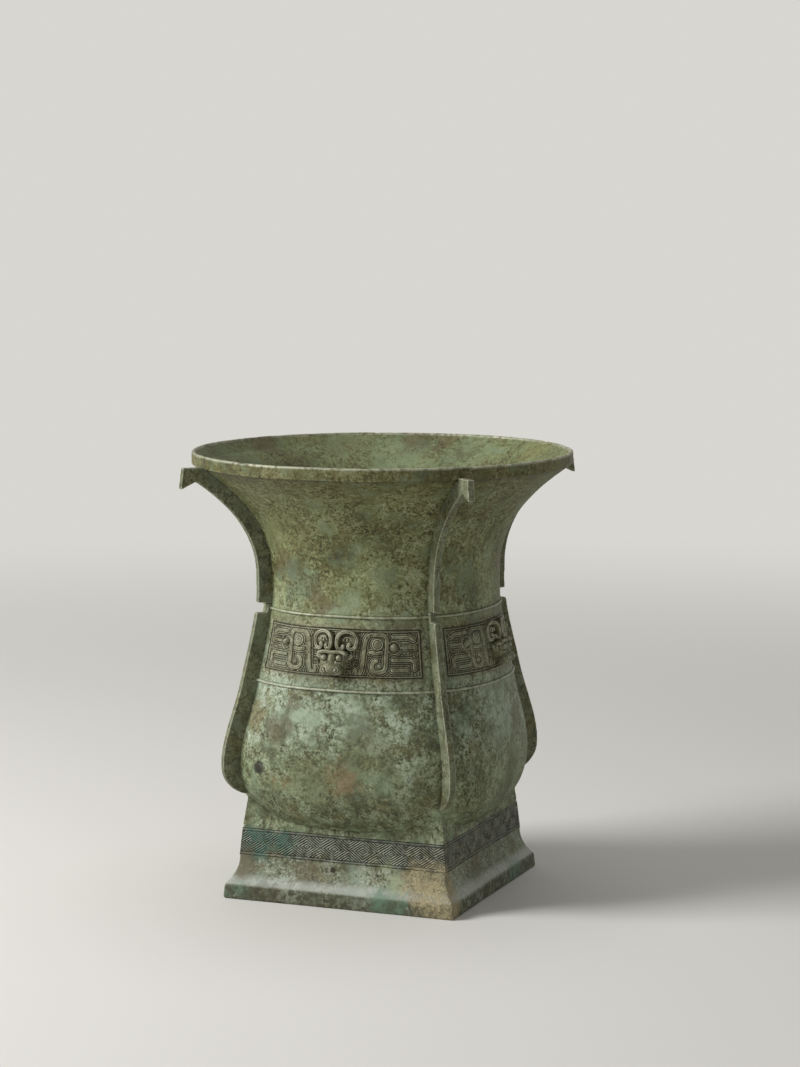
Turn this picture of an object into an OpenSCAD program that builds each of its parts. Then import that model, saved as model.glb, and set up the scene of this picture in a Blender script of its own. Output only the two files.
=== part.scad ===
// Square-bodied bronze wine vessel with a round trumpet mouth, on a hollow square foot.
// Millimetres, +Z up, origin at the centre of the foot's resting face.

/* [Mouth] */
// Outer diameter of the round mouth
mouth_d = 197; // [186:1:214]
// Height of the upright lip band
lip_h = 6.3; // [4:0.1:9]
// Width of the lip's top edge
lip_edge_w = 1.8; // [1:0.1:3]

/* [Neck] */
// Height of the neck, from the waist band to the lip
neck_h = 71.3; // [62:0.5:82]
// Height of the nearly straight stretch below the trumpet
neck_straight_h = 12; // [6:0.5:24]
// Neck width from corner to corner at its narrowest
neck_corner_d = 124.2; // [114:0.2:134]
// Neck width from face to face at its narrowest
neck_face_w = 119.6; // [110:0.2:123]
// How late the trumpet opens: a higher power keeps the neck straight for longer
flare_power = 2.4; // [2:0.1:3.5]

/* [Waist band] */
// Height of the ornament band, from the lower string's foot to the upper string's top
waist_h = 39.4; // [34:0.2:46]
// Corner to corner width at the band's top
waist_top_corner_d = 124.8; // [115:0.2:134]
// Face to face width at the band's top
waist_top_face_w = 120; // [111:0.2:124]
// Corner to corner width at the band's foot
waist_foot_corner_d = 140.6; // [131:0.2:150]
// Face to face width at the band's foot
waist_foot_face_w = 132; // [124:0.2:140]
// Height of a raised string along the wall
string_w = 2.6; // [1.6:0.1:4]
// How far a raised string stands out
string_relief = 1; // [0.5:0.1:1.6]

/* [Belly] */
// Height of the belly, from the foot to the waist band
belly_h = 73.8; // [66:0.2:82]
// Height of the widest level above the foot
belly_widest_h = 32.4; // [26:0.2:40]
// Corner to corner width at the widest level
belly_corner_d = 160.2; // [152:0.2:170]
// Face to face width at the widest level
belly_face_w = 140; // [132:0.2:148]
// Diameter at which the rounded underside runs out
bowl_base_d = 100; // [92:0.5:108]

/* [Foot] */
// Height of the foot
foot_h = 38; // [34:0.2:44]
// Width of the foot at its resting face
base_w = 126.8; // [120:0.2:136]
// Height of the upright edge round the base
base_edge_h = 7.5; // [5:0.1:10]
// How far the base edge leans in over its height
base_edge_lean = 0.7; // [0:0.1:1.5]
// Height at which the hollow curve above the base edge ends
cove_top_h = 21.9; // [18:0.1:26]
// Width of the foot at the end of the hollow curve
cove_top_w = 113.4; // [108:0.2:118]
// Width of the foot at its top
foot_top_w = 110.2; // [104:0.2:113]
// Height that the foot's corners run up into the belly
root_h = 15; // [11:0.2:18]
// Width across the foot's corners where they run out
root_top_w = 106.4; // [102:0.2:109]

/* [Walls and floor] */
// Thickness of the cast wall
wall = 4.2; // [3.4:0.1:5.2]
// Thickness of the floor
floor_t = 4; // [3:0.1:5.5]
// Diameter of the floor
floor_d = 95.6; // [88:0.2:99]
// Thickness of the foot's shelf under the floor
shelf_t = 4; // [3:0.1:6]
// Width of the shelf under the floor's rim
shelf_w = 4.6; // [3:0.1:7]
// Gap between fitted pieces
fit = 0.1; // [0.05:0.01:0.2]

/* [Flanges] */
// Thickness of a corner flange
flange_t = 3.6; // [2.8:0.1:4.8]
// Width of an upper flange
upper_flange_w = 7.4; // [6:0.1:10]
// Width of a lower flange at its top
lower_flange_top_w = 7.6; // [6:0.1:10]
// Width of a lower flange at the belly
lower_flange_belly_w = 9.3; // [7:0.1:11]
// Height of the slot between an upper and a lower flange
flange_slot_h = 4.6; // [3:0.1:7]
// Height of the low rib that stays in the slot, measured out from the wall
slot_rib_w = 1.8; // [1:0.1:3]
// Height of the lower flange's end above the foot
flange_end_h = 16; // [15.2:0.1:20]
// Height over which the lower flange's end rounds off
flange_end_round_h = 13; // [8:0.5:18]
// Depth of the groove that seats a flange in the wall
groove_depth = 1.2; // [0.8:0.1:1.8]
// How far a flange's tab reaches past the lip
tab_reach = 12.4; // [8:0.1:15]
// Height of the tab's hooked end
tab_h = 11; // [9:0.1:14]
// Height of the tab's top over the lip's lower edge
tab_rise = 1; // [0.6:0.1:3]
// Width of the tab's hook
hook_w = 5.5; // [4:0.1:7]
// How far the hook leans out over the tab's height
hook_lean = 1.4; // [0.4:0.1:2.5]

/* [Animal masks] */
// Diameter of the skull
skull_d = 13.6; // [11.5:0.2:16]
// Width of the brow from ear to ear
brow_w = 17; // [14:0.2:20]
// Height of the brow over the skull's middle
brow_rise = 3; // [2:0.1:4]
// Diameter of the muzzle
muzzle_d = 8.2; // [7:0.1:9.5]
// How far the muzzle hangs below the skull
chin_drop = 0.6; // [0.3:0.1:1.2]
// How far the muzzle stands out
mask_reach = 9; // [7.5:0.1:11]
// Diameter of an eye
eye_d = 3.8; // [3:0.1:4.6]
// Distance between the eyes
eye_spread = 7.2; // [6:0.1:8]
// Height of the eyes over the skull's middle
eye_rise = 1.9; // [1:0.1:2.6]
// How far the eyes' middles lie out from the wall
eye_reach = 5.8; // [5:0.1:6.2]
// Height of the head's middle above the waist band's foot
mask_mid_h = 16.2; // [13:0.1:18]
// Diameter of a coiled horn, along its middle
horn_d = 9.2; // [7.2:0.1:10.8]
// Thickness of a coiled horn
horn_t = 2.6; // [1.8:0.1:3]
// Space between the two horns
horn_gap = 1; // [0.6:0.1:2]
// Width of the tenon that holds the mask in the wall
tenon_w = 9; // [6:0.1:11]
// Height of the tenon
tenon_h = 8; // [6:0.1:9.5]
// Depth of the tenon in the wall
tenon_depth = 1.5; // [1:0.1:2]
// Space between the head's back and the wall
mask_gap = 0.5; // [0.3:0.05:0.8]

/* [Spacers] */
// Width of a square core spacer
spacer_w = 5.6; // [4:0.1:7]
// How far a wall spacer's ends lie below the wall's two faces
spacer_sink = 0.4; // [0.3:0.05:0.8]
// Angle of a wall spacer from the corner
spacer_turn = 12.5; // [9:0.5:18]
// Distance of a floor spacer from the vessel's axis, along X and along Y
floor_spacer_x = 20; // [12:0.5:24]

/* [Hidden] */

// Heights of the flat joints between the registers
belly_z = foot_h;
waist_z = belly_z + belly_h;
neck_z = waist_z + waist_h;
lip_z = neck_z + neck_h;
top_z = lip_z + lip_h;
widest_z = belly_z + belly_widest_h;
flare_z = neck_z + neck_straight_h;
flange_end_z = belly_z + flange_end_h;
floor_top_z = belly_z + floor_t;
lower_flange_top_z = neck_z - (string_w + flange_slot_h) / 2;
upper_flange_foot_z = lower_flange_top_z + flange_slot_h;

// Directions of the corners and the faces, counted counter-clockwise
corner_angle = 45;
front_left = -3 * corner_angle;
front_right = -corner_angle;
back_right = corner_angle;
back_left = 3 * corner_angle;
front = 0;
right = 2 * corner_angle;
back = 4 * corner_angle;
left = 6 * corner_angle;

// Shape of one outside ring: points between a face's middle and the groove, and the colours
face_steps = 7;
half_groove = flange_t / 2 + fit;
plain_patina = "#7d8a6b";
pale_patina = "#93a084";
dark_patina = "#5b6149";
brown_patina = "#5a4634";

// Extra length that carries a cut clear through a face
cut_margin = 1;

// Slope of the curve through stations [height, radius] at station i, level at both ends
function chord(s, i) = (s[i + 1][1] - s[i][1]) / (s[i + 1][0] - s[i][0]);
function tangent(s, i) =
    i == 0 || i == len(s) - 1 ? 0 : (chord(s, i - 1) + chord(s, i)) / 2;
function span(s, z) = len([for (i = [1 : len(s) - 2]) if (z >= s[i][0]) 1]);
function curve_at(s, z) =
    let (i = span(s, z))
    let (h = s[i + 1][0] - s[i][0], t = (z - s[i][0]) / h)
    s[i][1] * (1 + 2 * t) * pow(1 - t, 2) + h * tangent(s, i) * t * pow(1 - t, 2)
    + s[i + 1][1] * t * t * (3 - 2 * t) + h * tangent(s, i + 1) * t * t * (t - 1);

// Half-widths of the outside over the corners and over the faces
corner_stations = [
    [widest_z, belly_corner_d / 2], [waist_z, waist_foot_corner_d / 2],
    [neck_z, waist_top_corner_d / 2], [flare_z, neck_corner_d / 2]
];
face_stations = [
    [widest_z, belly_face_w / 2], [waist_z, waist_foot_face_w / 2],
    [neck_z, waist_top_face_w / 2], [flare_z, neck_face_w / 2]
];
function bowl(widest, z) =
    bowl_base_d / 2
    + (widest - bowl_base_d / 2) * sqrt(max(0, 1 - pow((widest_z - z) / belly_widest_h, 2)));
function trumpet(narrow, z) =
    narrow + (mouth_d / 2 - narrow) * pow((z - flare_z) / (lip_z - flare_z), flare_power);
function outside(s, z) =
    z < widest_z ? bowl(s[0][1], z) :
    z > flare_z ? trumpet(s[len(s) - 1][1], z) : curve_at(s, z);
function corner_r(z) = outside(corner_stations, z);
function face_r(z) = outside(face_stations, z);

// Slope of the wall, and the wall's thickness measured on the level
slope_step = 0.05;
function wall_slope(s, z) =
    let (low = max(belly_z + slope_step, z - slope_step), high = min(lip_z, z + slope_step))
    (outside(s, high) - outside(s, low)) / (high - low);
function level_wall(s, z) = wall * sqrt(1 + pow(wall_slope(s, z), 2));

// Radius of a rounded square at angle a from a face's middle, from its corner and face radii
function rounded_square_r(corner, face, a) =
    let (n = ln(2) / ln(sqrt(2) * face / corner))
    face * pow(pow(abs(cos(a)), n) + pow(abs(sin(a)), n), -1 / n);
function square_r(half_w, a) = half_w / max(abs(cos(a)), abs(sin(a)));

// The foot's corners run up into the belly, tapering as they go
function root_half_w(z) =
    (foot_top_w + (root_top_w - foot_top_w) * (z - belly_z) / root_h) / 2;
function outside_r(z, a) =
    let (body = rounded_square_r(corner_r(z), face_r(z), a))
    z < belly_z + root_h ? max(body, square_r(root_half_w(z), a)) : body;
function inside_r(z, a) =
    rounded_square_r(
        corner_r(z) - level_wall(corner_stations, z), face_r(z) - level_wall(face_stations, z), a);

// One ring of points: four quarters, each from one face's middle over a corner to the next face's middle
function at_height(points, z) = [for (p = points) [p[0], p[1], z]];
function turned(points, a) =
    [for (p = points) [p[0] * cos(a) - p[1] * sin(a), p[0] * sin(a) + p[1] * cos(a)]];
function four_quarters(quarter) =
    [for (k = [0 : 3]) each turned(quarter, (2 * k + 1) * corner_angle)];
function polar(r, a) = [r * cos(a), r * sin(a)];
function outside_ring(z, raise, grooved) =
    let (edge = asin(half_groove / corner_r(z)), step = (corner_angle - edge) / face_steps)
    let (side = outside_r(z, corner_angle - edge) + raise)
    let (u = sqrt(side * side - half_groove * half_groove))
    let (root = grooved ? corner_r(z) - groove_depth : outside_r(z, corner_angle) + raise)
    let (root_v = grooved ? half_groove : half_groove / 4)
    at_height(four_quarters([
        for (i = [0 : face_steps - 1]) polar(outside_r(z, step * i) + raise, step * i - corner_angle),
        [u, -half_groove], [root, -root_v], [root, root_v], [u, half_groove],
        for (i = [1 : face_steps - 1])
            polar(outside_r(z, corner_angle + edge + step * i) + raise, edge + step * i)
    ]), z);
function inside_ring(z, radius_at) =
    let (edge = asin(half_groove / corner_r(z)), step = (corner_angle - edge) / face_steps)
    at_height(four_quarters([
        for (i = [0 : face_steps - 1]) polar(radius_at(step * i), step * i - corner_angle),
        for (a = [-edge, -edge / 3, edge / 3, edge]) polar(radius_at(corner_angle + a), a),
        for (i = [1 : face_steps - 1])
            polar(radius_at(corner_angle + edge + step * i), edge + step * i)
    ]), z);

// Closed wall through rings that go up the outside and down the inside
module wall_through(rings) {
    n = len(rings[0]);
    function point(i, j) = (i % len(rings)) * n + j % n;
    polyhedron(
        points = [for (ring = rings) each ring],
        faces = [
            for (i = [0 : len(rings) - 1], j = [0 : n - 1])
                each [
                    [point(i, j), point(i + 1, j), point(i + 1, j + 1)],
                    [point(i, j), point(i + 1, j + 1), point(i, j + 1)]
                ]
        ]
    );
}

// Heights of the rings in each register, and how many steps they take
straight_steps = 3;
flare_steps = 10;
waist_steps = 5;
bowl_steps = 9;
flank_steps = 4;
shoulder_steps = 5;
cove_steps = 6;
end_steps = 8;
groove_run_out = 1.5;
function between(low, high, steps) = [for (i = [0 : steps]) low + (high - low) * i / steps];
function without_last(list) = [for (i = [0 : len(list) - 2]) list[i]];
function reversed(list) = [for (i = [len(list) - 1 : -1 : 0]) list[i]];
neck_heights = concat(
    without_last(between(neck_z, flare_z, straight_steps)), between(flare_z, lip_z, flare_steps));
waist_heights = concat(
    [waist_z], between(waist_z + string_w, neck_z - string_w, waist_steps), [neck_z]);
bowl_heights = between(belly_z, flange_end_z - groove_run_out, bowl_steps);
belly_heights = concat(
    without_last(between(flange_end_z, widest_z, flank_steps)),
    between(widest_z, waist_z, shoulder_steps));
upper_flange_heights = concat(
    [upper_flange_foot_z], [for (z = neck_heights) if (z > upper_flange_foot_z) z]);

// Upright lip round the mouth
mouth_wall = level_wall(corner_stations, lip_z);
module rim_lip() {
    edge_r = lip_edge_w / 2;
    edge_middle = [mouth_d / 2 - edge_r, top_z - edge_r];
    color(pale_patina)
        rotate_extrude($fn = 96)
            polygon(concat(
                [[mouth_d / 2 - mouth_wall, lip_z], [mouth_d / 2, lip_z]],
                [for (a = between(0, 180, cove_steps)) edge_middle + polar(edge_r, a)]
            ));
}

// Neck that grows from the rounded square of the waist into the round mouth
module trumpet_neck() {
    color(plain_patina)
        wall_through(concat(
            [for (z = neck_heights) outside_ring(z, 0, true)],
            [for (z = reversed(neck_heights)) inside_ring(z, function (a) inside_r(z, a))]
        ));
}

// Ornament band between two raised strings, with a shallow seat for each animal mask
module waist_band() {
    lower_string_z = waist_z + string_w / 2;
    upper_string_z = neck_z - string_w / 2;
    outside_heights = concat(
        [waist_z, lower_string_z],
        [for (i = [1 : len(waist_heights) - 2]) waist_heights[i]],
        [upper_string_z, neck_z]);
    color(dark_patina)
        difference() {
            wall_through(concat(
                [
                    for (z = outside_heights)
                        outside_ring(
                            z, z == lower_string_z || z == upper_string_z ? string_relief : 0, true)
                ],
                [for (z = reversed(waist_heights)) inside_ring(z, function (a) inside_r(z, a))]
            ));
            for (turn = [front, right, back, left]) on_face(turn)
                tenon(fit);
        }
}

// Rounded belly whose underside overhangs the foot between the foot's corners
module belly() {
    floor_hole_r = floor_d / 2 + 3 * fit;
    color(plain_patina)
        difference() {
            wall_through(concat(
                [for (z = bowl_heights) outside_ring(z, 0, false)],
                [for (z = belly_heights) outside_ring(z, 0, true)],
                [for (z = reversed(belly_heights)) inside_ring(z, function (a) inside_r(z, a))],
                [for (z = [flange_end_z - groove_run_out, floor_top_z])
                    inside_ring(z, function (a) inside_r(z, a))],
                [for (z = [floor_top_z, belly_z]) inside_ring(z, function (a) floor_hole_r)]
            ));
            wall_spacer_places(2 * wall, fit);
        }
}

// Floor plate that closes the belly and rests on the foot's shelf
module belly_floor() {
    color(dark_patina)
        difference() {
            translate([0, 0, belly_z])
                cylinder(h = floor_t, d = floor_d, $fn = 96);
            floor_spacer_places()
                translate([0, 0, floor_t / 2])
                    cube([spacer_w + 2 * fit, spacer_w + 2 * fit, 2 * floor_t], center = true);
        }
}

// Outline of one half of the foot, from the axis out: an upright edge, a cove and a leaning side
cove_rise = cove_top_h - base_edge_h;
cove_run = (base_w - 2 * base_edge_lean - cove_top_w) / 2;
cove_r = (cove_rise * cove_rise + cove_run * cove_run) / (2 * cove_run);
cove_angle = asin(cove_rise / cove_r);
function foot_side(inset) = concat(
    [[base_w / 2 - inset, 0]],
    [
        for (a = between(cove_angle, 0, cove_steps))
            [cove_top_w / 2 + cove_r - cove_r * cos(a) - inset, cove_top_h - cove_r * sin(a)]
    ],
    [[foot_top_w / 2 - inset, foot_h]]
);
module foot_form(inset) {
    side = foot_side(inset);
    outline = concat(side, [for (p = reversed(side)) [-p[0], p[1]]]);
    length = base_w + 2 * cut_margin;
    intersection_for (turn = [0, 90])
        rotate([90, 0, turn])
            translate([0, 0, -length / 2])
                linear_extrude(length)
                    polygon(outline);
}

// Hollow square foot with a shelf that carries the floor
module square_foot() {
    color(plain_patina)
        difference() {
            foot_form(0);
            intersection() {
                foot_form(wall);
                translate([-base_w / 2, -base_w / 2, -cut_margin])
                    cube([base_w, base_w, foot_h - shelf_t + cut_margin]);
            }
            translate([0, 0, -cut_margin])
                linear_extrude(2 * cut_margin)
                    square(base_w - 2 * wall, center = true);
            cylinder(h = foot_h + cut_margin, d = floor_d - 2 * shelf_w, $fn = 96);
        }
}

// A flange is a plate on the corner's diagonal: outline in [distance from the axis, height]
function seat(z) = [corner_r(z) - groove_depth + fit, z];
function standing_out(z, w) =
    let (slope = wall_slope(corner_stations, z), length = sqrt(1 + slope * slope))
    [corner_r(z) + w / length, z - w * slope / length];
module flange_plate(outline, direction) {
    rotate([0, 0, direction])
        rotate([90, 0, 0])
            translate([0, 0, -flange_t / 2])
                linear_extrude(flange_t)
                    polygon(outline);
}

// Upper flange: follows the neck and runs out under the lip to a hooked tab
module upper_flange(direction) {
    lip_r = mouth_d / 2 + fit;
    tab_r = mouth_d / 2 + tab_reach;
    tab_top_z = lip_z + tab_rise;
    tab_foot_z = tab_top_z - tab_h;
    edge = [for (z = upper_flange_heights) standing_out(z, upper_flange_w)];
    color(plain_patina)
        flange_plate(concat(
            [for (z = without_last(upper_flange_heights)) seat(z)],
            [[seat(lip_z)[0], lip_z - fit], [lip_r, lip_z - fit], [lip_r, tab_top_z]],
            [[tab_r - hook_lean, tab_top_z], [tab_r, tab_foot_z]],
            reversed([for (p = edge) if (p[0] < tab_r - hook_w) p])
        ), direction);
}

// Lower flange: follows the waist and the belly, with a low rib at its top that fills the slot's root
module lower_flange(direction) {
    function end_round(z) =
        z > flange_end_z + flange_end_round_h ? 1 :
        sqrt(1 - pow(1 - (z - flange_end_z) / flange_end_round_h, 2));
    function width(z) =
        let (t = min(1, max(0, (z - widest_z) / (lower_flange_top_z - widest_z))))
        lower_flange_belly_w + (lower_flange_top_w - lower_flange_belly_w) * t;
    heights = concat(
        without_last(belly_heights),
        [for (z = waist_heights) if (z < lower_flange_top_z) z],
        [lower_flange_top_z]);
    rib_top_z = upper_flange_foot_z - fit;
    rib_heights = concat(
        [for (z = waist_heights) if (z > lower_flange_top_z && z < rib_top_z) z], [rib_top_z]);
    outer_heights = concat(
        between(flange_end_z, flange_end_z + flange_end_round_h, end_steps),
        [for (z = heights) if (z > flange_end_z + flange_end_round_h) z]);
    color(plain_patina)
        flange_plate(concat(
            [for (z = heights) seat(z)],
            [for (z = rib_heights) seat(z)],
            [[corner_r(rib_top_z) + slot_rib_w, rib_top_z]],
            [[corner_r(lower_flange_top_z) + slot_rib_w, lower_flange_top_z]],
            [for (z = reversed(outer_heights)) [corner_r(z) + width(z) * end_round(z), z]]
        ), direction);
}

// Places a shape on a face of the waist band: +X along the face, +Y out of it, +Z up the wall
mask_z = waist_z + mask_mid_h;
waist_lean = atan((waist_foot_face_w - waist_top_face_w) / 2 / waist_h);
module on_face(turn) {
    rotate([0, 0, turn])
        translate([0, -face_r(mask_z), mask_z])
            rotate([-waist_lean, 0, 0])
                rotate([0, 0, 180])
                    children();
}
module tenon(clear) {
    translate([-tenon_w / 2 - clear, -tenon_depth, -tenon_h / 2 - clear])
        cube([tenon_w + 2 * clear, tenon_depth + mask_reach / 2, tenon_h + 2 * clear]);
}

// Ox head in high relief with two coiled horns above it, held by a tenon
module animal_mask(turn) {
    muzzle_r = muzzle_d / 2;
    muzzle_drop = (skull_d - muzzle_d) / 2 + chin_drop;
    horn_seat = sqrt(pow(skull_d / 2, 2) - pow(horn_t, 2));
    horn_spread = (horn_d + horn_t + horn_gap) / 2;
    color(brown_patina)
        on_face(turn) {
            tenon(0);
            intersection() {
                translate([-brow_w, mask_gap, -skull_d])
                    cube([2 * brow_w, mask_reach, 2 * skull_d]);
                union() {
                    translate([0, mask_gap, 0])
                        sphere(d = skull_d, $fn = 48);
                    translate([0, mask_reach - muzzle_r, -muzzle_drop])
                        sphere(d = muzzle_d, $fn = 48);
                    translate([0, 0, -muzzle_drop])
                        rotate([-90, 0, 0])
                            cylinder(h = mask_reach - muzzle_r, d = muzzle_d, $fn = 48);
                    translate([0, mask_gap + horn_t, brow_rise])
                        rotate([0, 90, 0])
                            cylinder(h = brow_w, d = horn_t, center = true, $fn = 24);
                    for (side = [-1, 1])
                        translate([side * eye_spread / 2, eye_reach, eye_rise])
                            sphere(d = eye_d, $fn = 32);
                }
            }
            for (side = [-1, 1])
                translate([side * horn_spread, mask_gap, horn_seat + horn_d / 2 - horn_t])
                    rotate([-90, 0, 0])
                        horn(side);
        }
}

// Flat coiled horn, open below
module horn(side) {
    difference() {
        cylinder(h = horn_t, d = horn_d + horn_t, $fn = 48);
        translate([0, 0, -cut_margin])
            cylinder(h = horn_t + 2 * cut_margin, d = horn_d - horn_t, $fn = 48);
        translate([(side - 0.5) * horn_t, 0, -cut_margin])
            cube([horn_t, horn_d, horn_t + 2 * cut_margin]);
    }
}

// Square spacers that held the core: two beside each corner of the belly, four in the floor
module wall_spacer_places(extra, clear) {
    side = corner_angle - spacer_turn;
    outer = outside_r(widest_z, side) - spacer_sink;
    inner = inside_r(widest_z, side) + spacer_sink;
    for (corner = [front_left, front_right, back_right, back_left], turn = [-1, 1])
        rotate([0, 0, corner + turn * spacer_turn])
            translate([(outer + inner) / 2, 0, widest_z])
                cube([
                    outer - inner + extra, spacer_w + 2 * clear, spacer_w + 2 * clear
                ], center = true);
}
module wall_spacers() {
    color(brown_patina)
        wall_spacer_places(0, 0);
}
module floor_spacer_places() {
    for (x = [-floor_spacer_x, floor_spacer_x], y = [-floor_spacer_x, floor_spacer_x])
        translate([x, y, belly_z])
            children();
}
module floor_spacers() {
    color(brown_patina)
        floor_spacer_places()
            translate([0, 0, floor_t / 2])
                cube([spacer_w, spacer_w, floor_t], center = true);
}

rim_lip();
trumpet_neck();
waist_band();
belly();
belly_floor();
square_foot();
upper_flange(front_left);  // upper_flange_front_left
upper_flange(front_right);  // upper_flange_front_right
upper_flange(back_right);  // upper_flange_back_right
upper_flange(back_left);  // upper_flange_back_left
lower_flange(front_left);  // lower_flange_front_left
lower_flange(front_right);  // lower_flange_front_right
lower_flange(back_right);  // lower_flange_back_right
lower_flange(back_left);  // lower_flange_back_left
animal_mask(front);  // animal_mask_front
animal_mask(right);  // animal_mask_right
animal_mask(back);  // animal_mask_back
animal_mask(left);  // animal_mask_left
wall_spacers();
floor_spacers();
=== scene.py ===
"""Looks of a square-bodied bronze wine vessel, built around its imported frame."""
import math
from functools import cached_property
from itertools import product

import bpy
import numpy as np
from mathutils import Matrix, Vector

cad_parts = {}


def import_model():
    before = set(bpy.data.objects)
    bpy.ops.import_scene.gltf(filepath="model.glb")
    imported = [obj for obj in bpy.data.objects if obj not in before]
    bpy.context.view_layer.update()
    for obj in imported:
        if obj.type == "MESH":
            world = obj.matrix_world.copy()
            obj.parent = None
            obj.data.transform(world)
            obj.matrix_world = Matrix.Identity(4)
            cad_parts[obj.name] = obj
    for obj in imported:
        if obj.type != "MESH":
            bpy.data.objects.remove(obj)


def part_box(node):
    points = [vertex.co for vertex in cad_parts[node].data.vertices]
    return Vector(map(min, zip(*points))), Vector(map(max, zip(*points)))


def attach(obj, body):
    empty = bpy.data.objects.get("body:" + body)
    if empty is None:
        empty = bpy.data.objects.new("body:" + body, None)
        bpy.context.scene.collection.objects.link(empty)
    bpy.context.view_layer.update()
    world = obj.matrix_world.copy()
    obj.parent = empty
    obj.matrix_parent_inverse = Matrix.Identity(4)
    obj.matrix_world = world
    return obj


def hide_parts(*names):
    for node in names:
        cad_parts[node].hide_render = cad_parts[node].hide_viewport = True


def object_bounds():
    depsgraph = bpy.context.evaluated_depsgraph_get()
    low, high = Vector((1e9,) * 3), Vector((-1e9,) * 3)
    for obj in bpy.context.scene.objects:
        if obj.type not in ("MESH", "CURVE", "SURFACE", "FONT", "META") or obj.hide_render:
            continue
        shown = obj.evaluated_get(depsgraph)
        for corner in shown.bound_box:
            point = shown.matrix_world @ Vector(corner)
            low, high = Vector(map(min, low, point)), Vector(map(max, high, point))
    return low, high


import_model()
cad_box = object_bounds()

# Lengths are millimetres until a mesh or a shader is made, which take metres
MM = 0.001
BOX_LOW, BOX_HIGH = (np.array(corner) / MM for corner in cad_box)


def low_z(node):
    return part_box(node)[0][2] / MM


def high_z(node):
    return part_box(node)[1][2] / MM


def half_width(node):
    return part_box(node)[1][0] / MM


# Levels and widths that the frame gives
LIP_Z = low_z("rim_lip")
TOP_Z = high_z("rim_lip")
MOUTH_R = half_width("rim_lip")
NECK_Z = low_z("trumpet_neck")
WAIST_Z = low_z("waist_band")
BELLY_Z = low_z("belly")
BASE_HALF = half_width("square_foot")
FLOOR_TOP_Z = high_z("belly_floor")
FLOOR_R = half_width("belly_floor")
FLANGE_FOOT_Z = low_z("lower_flange_front_left")
SLOT_TOP_Z = low_z("upper_flange_front_left")
TAB_TOP_Z = high_z("upper_flange_front_left")

# Wall: half-widths over the corners and the faces at the widest, waist foot, waist top and flare levels
WIDEST_Z = 70.4
FLARE_Z = 163.2
CORNERS = ((WIDEST_Z, 80.1), (WAIST_Z, 70.3), (NECK_Z, 62.4), (FLARE_Z, 62.1))
FACES = ((WIDEST_Z, 70.0), (WAIST_Z, 66.0), (NECK_Z, 60.0), (FLARE_Z, 59.8))
BOWL_BASE_R = 50.0
FLARE_POWER = 2.4
WALL = 4.2
FLANGE_T = 3.6
BASE_EDGE_Z = 7.5

# Directions in radians, counter-clockwise from the front face's middle
FACE_TURNS = {"front": 0, "right": math.pi / 2, "back": math.pi, "left": 1.5 * math.pi}
CORNER_TURNS = {
    "front_left": -math.pi / 4, "front_right": math.pi / 4,
    "back_right": 0.75 * math.pi, "back_left": 1.25 * math.pi,
}


def profile(stations, z):
    """Half-width of the wall's outside at heights z: a bowl, a smooth waist and a trumpet."""
    heights, widths = np.array(stations).T
    chords = np.diff(widths) / np.diff(heights)
    slopes = np.concatenate([[0], (chords[1:] + chords[:-1]) / 2, [0]])
    i = np.clip(np.searchsorted(heights, z, side="right") - 1, 0, len(chords) - 1)
    rise = heights[i + 1] - heights[i]
    t = (z - heights[i]) / rise
    waist = (
        widths[i] * (1 + 2 * t) * (1 - t) ** 2 + rise * slopes[i] * t * (1 - t) ** 2
        + widths[i + 1] * t * t * (3 - 2 * t) + rise * slopes[i + 1] * t * t * (t - 1)
    )
    drop = np.clip((heights[0] - z) / (heights[0] - BELLY_Z), 0, 1)
    bowl = BOWL_BASE_R + (widths[0] - BOWL_BASE_R) * np.sqrt(1 - drop ** 2)
    lift = np.clip((z - heights[-1]) / (LIP_Z - heights[-1]), 0, None)
    trumpet = widths[-1] + (MOUTH_R - widths[-1]) * lift ** FLARE_POWER
    return np.where(z < heights[0], bowl, np.where(z > heights[-1], trumpet, waist))


def slope_of(stations, z, step=0.05):
    """How fast the wall widens with height."""
    low = np.maximum(z - step, BELLY_Z + step)
    high = np.minimum(z + step, LIP_Z)
    return (profile(stations, high) - profile(stations, low)) / (high - low)


def level_wall(stations, z):
    """Thickness of the wall measured on the level."""
    return WALL * np.sqrt(1 + slope_of(stations, z) ** 2)


def rounded_square(corner, face, angle):
    """Radius of a rounded square at an angle from a face's middle."""
    n = math.log(2) / np.log(math.sqrt(2) * face / corner)
    return face * (np.abs(np.cos(angle)) ** n + np.abs(np.sin(angle)) ** n) ** (-1 / n)


def outside_r(z, angle):
    return rounded_square(profile(CORNERS, z), profile(FACES, z), angle)


def inside_r(z, angle):
    corner = profile(CORNERS, z) - level_wall(CORNERS, z)
    face = profile(FACES, z) - level_wall(FACES, z)
    return rounded_square(corner, face, angle)


def on_ring(radius, angle, z):
    """Points at a radius, an angle from the front and a height."""
    radius, angle, z = np.broadcast_arrays(radius, angle, z)
    return np.stack([radius * np.sin(angle), -radius * np.cos(angle), z], -1)


def outer_skin(z, angle, proud=0.0):
    return on_ring(outside_r(z, angle) + proud, angle, z)


def inner_skin(z, angle, proud=0.0):
    return on_ring(inside_r(z, angle) - proud, angle, z)


def full_turn(count):
    return np.linspace(0, 2 * math.pi, count, endpoint=False)


def smooth_step(value):
    t = np.clip(value, 0, 1)
    return t * t * (3 - 2 * t)


def bell(distance, width):
    """1 at no distance, and next to nothing at twice the width."""
    return np.exp(-(distance / width) ** 2)


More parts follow.
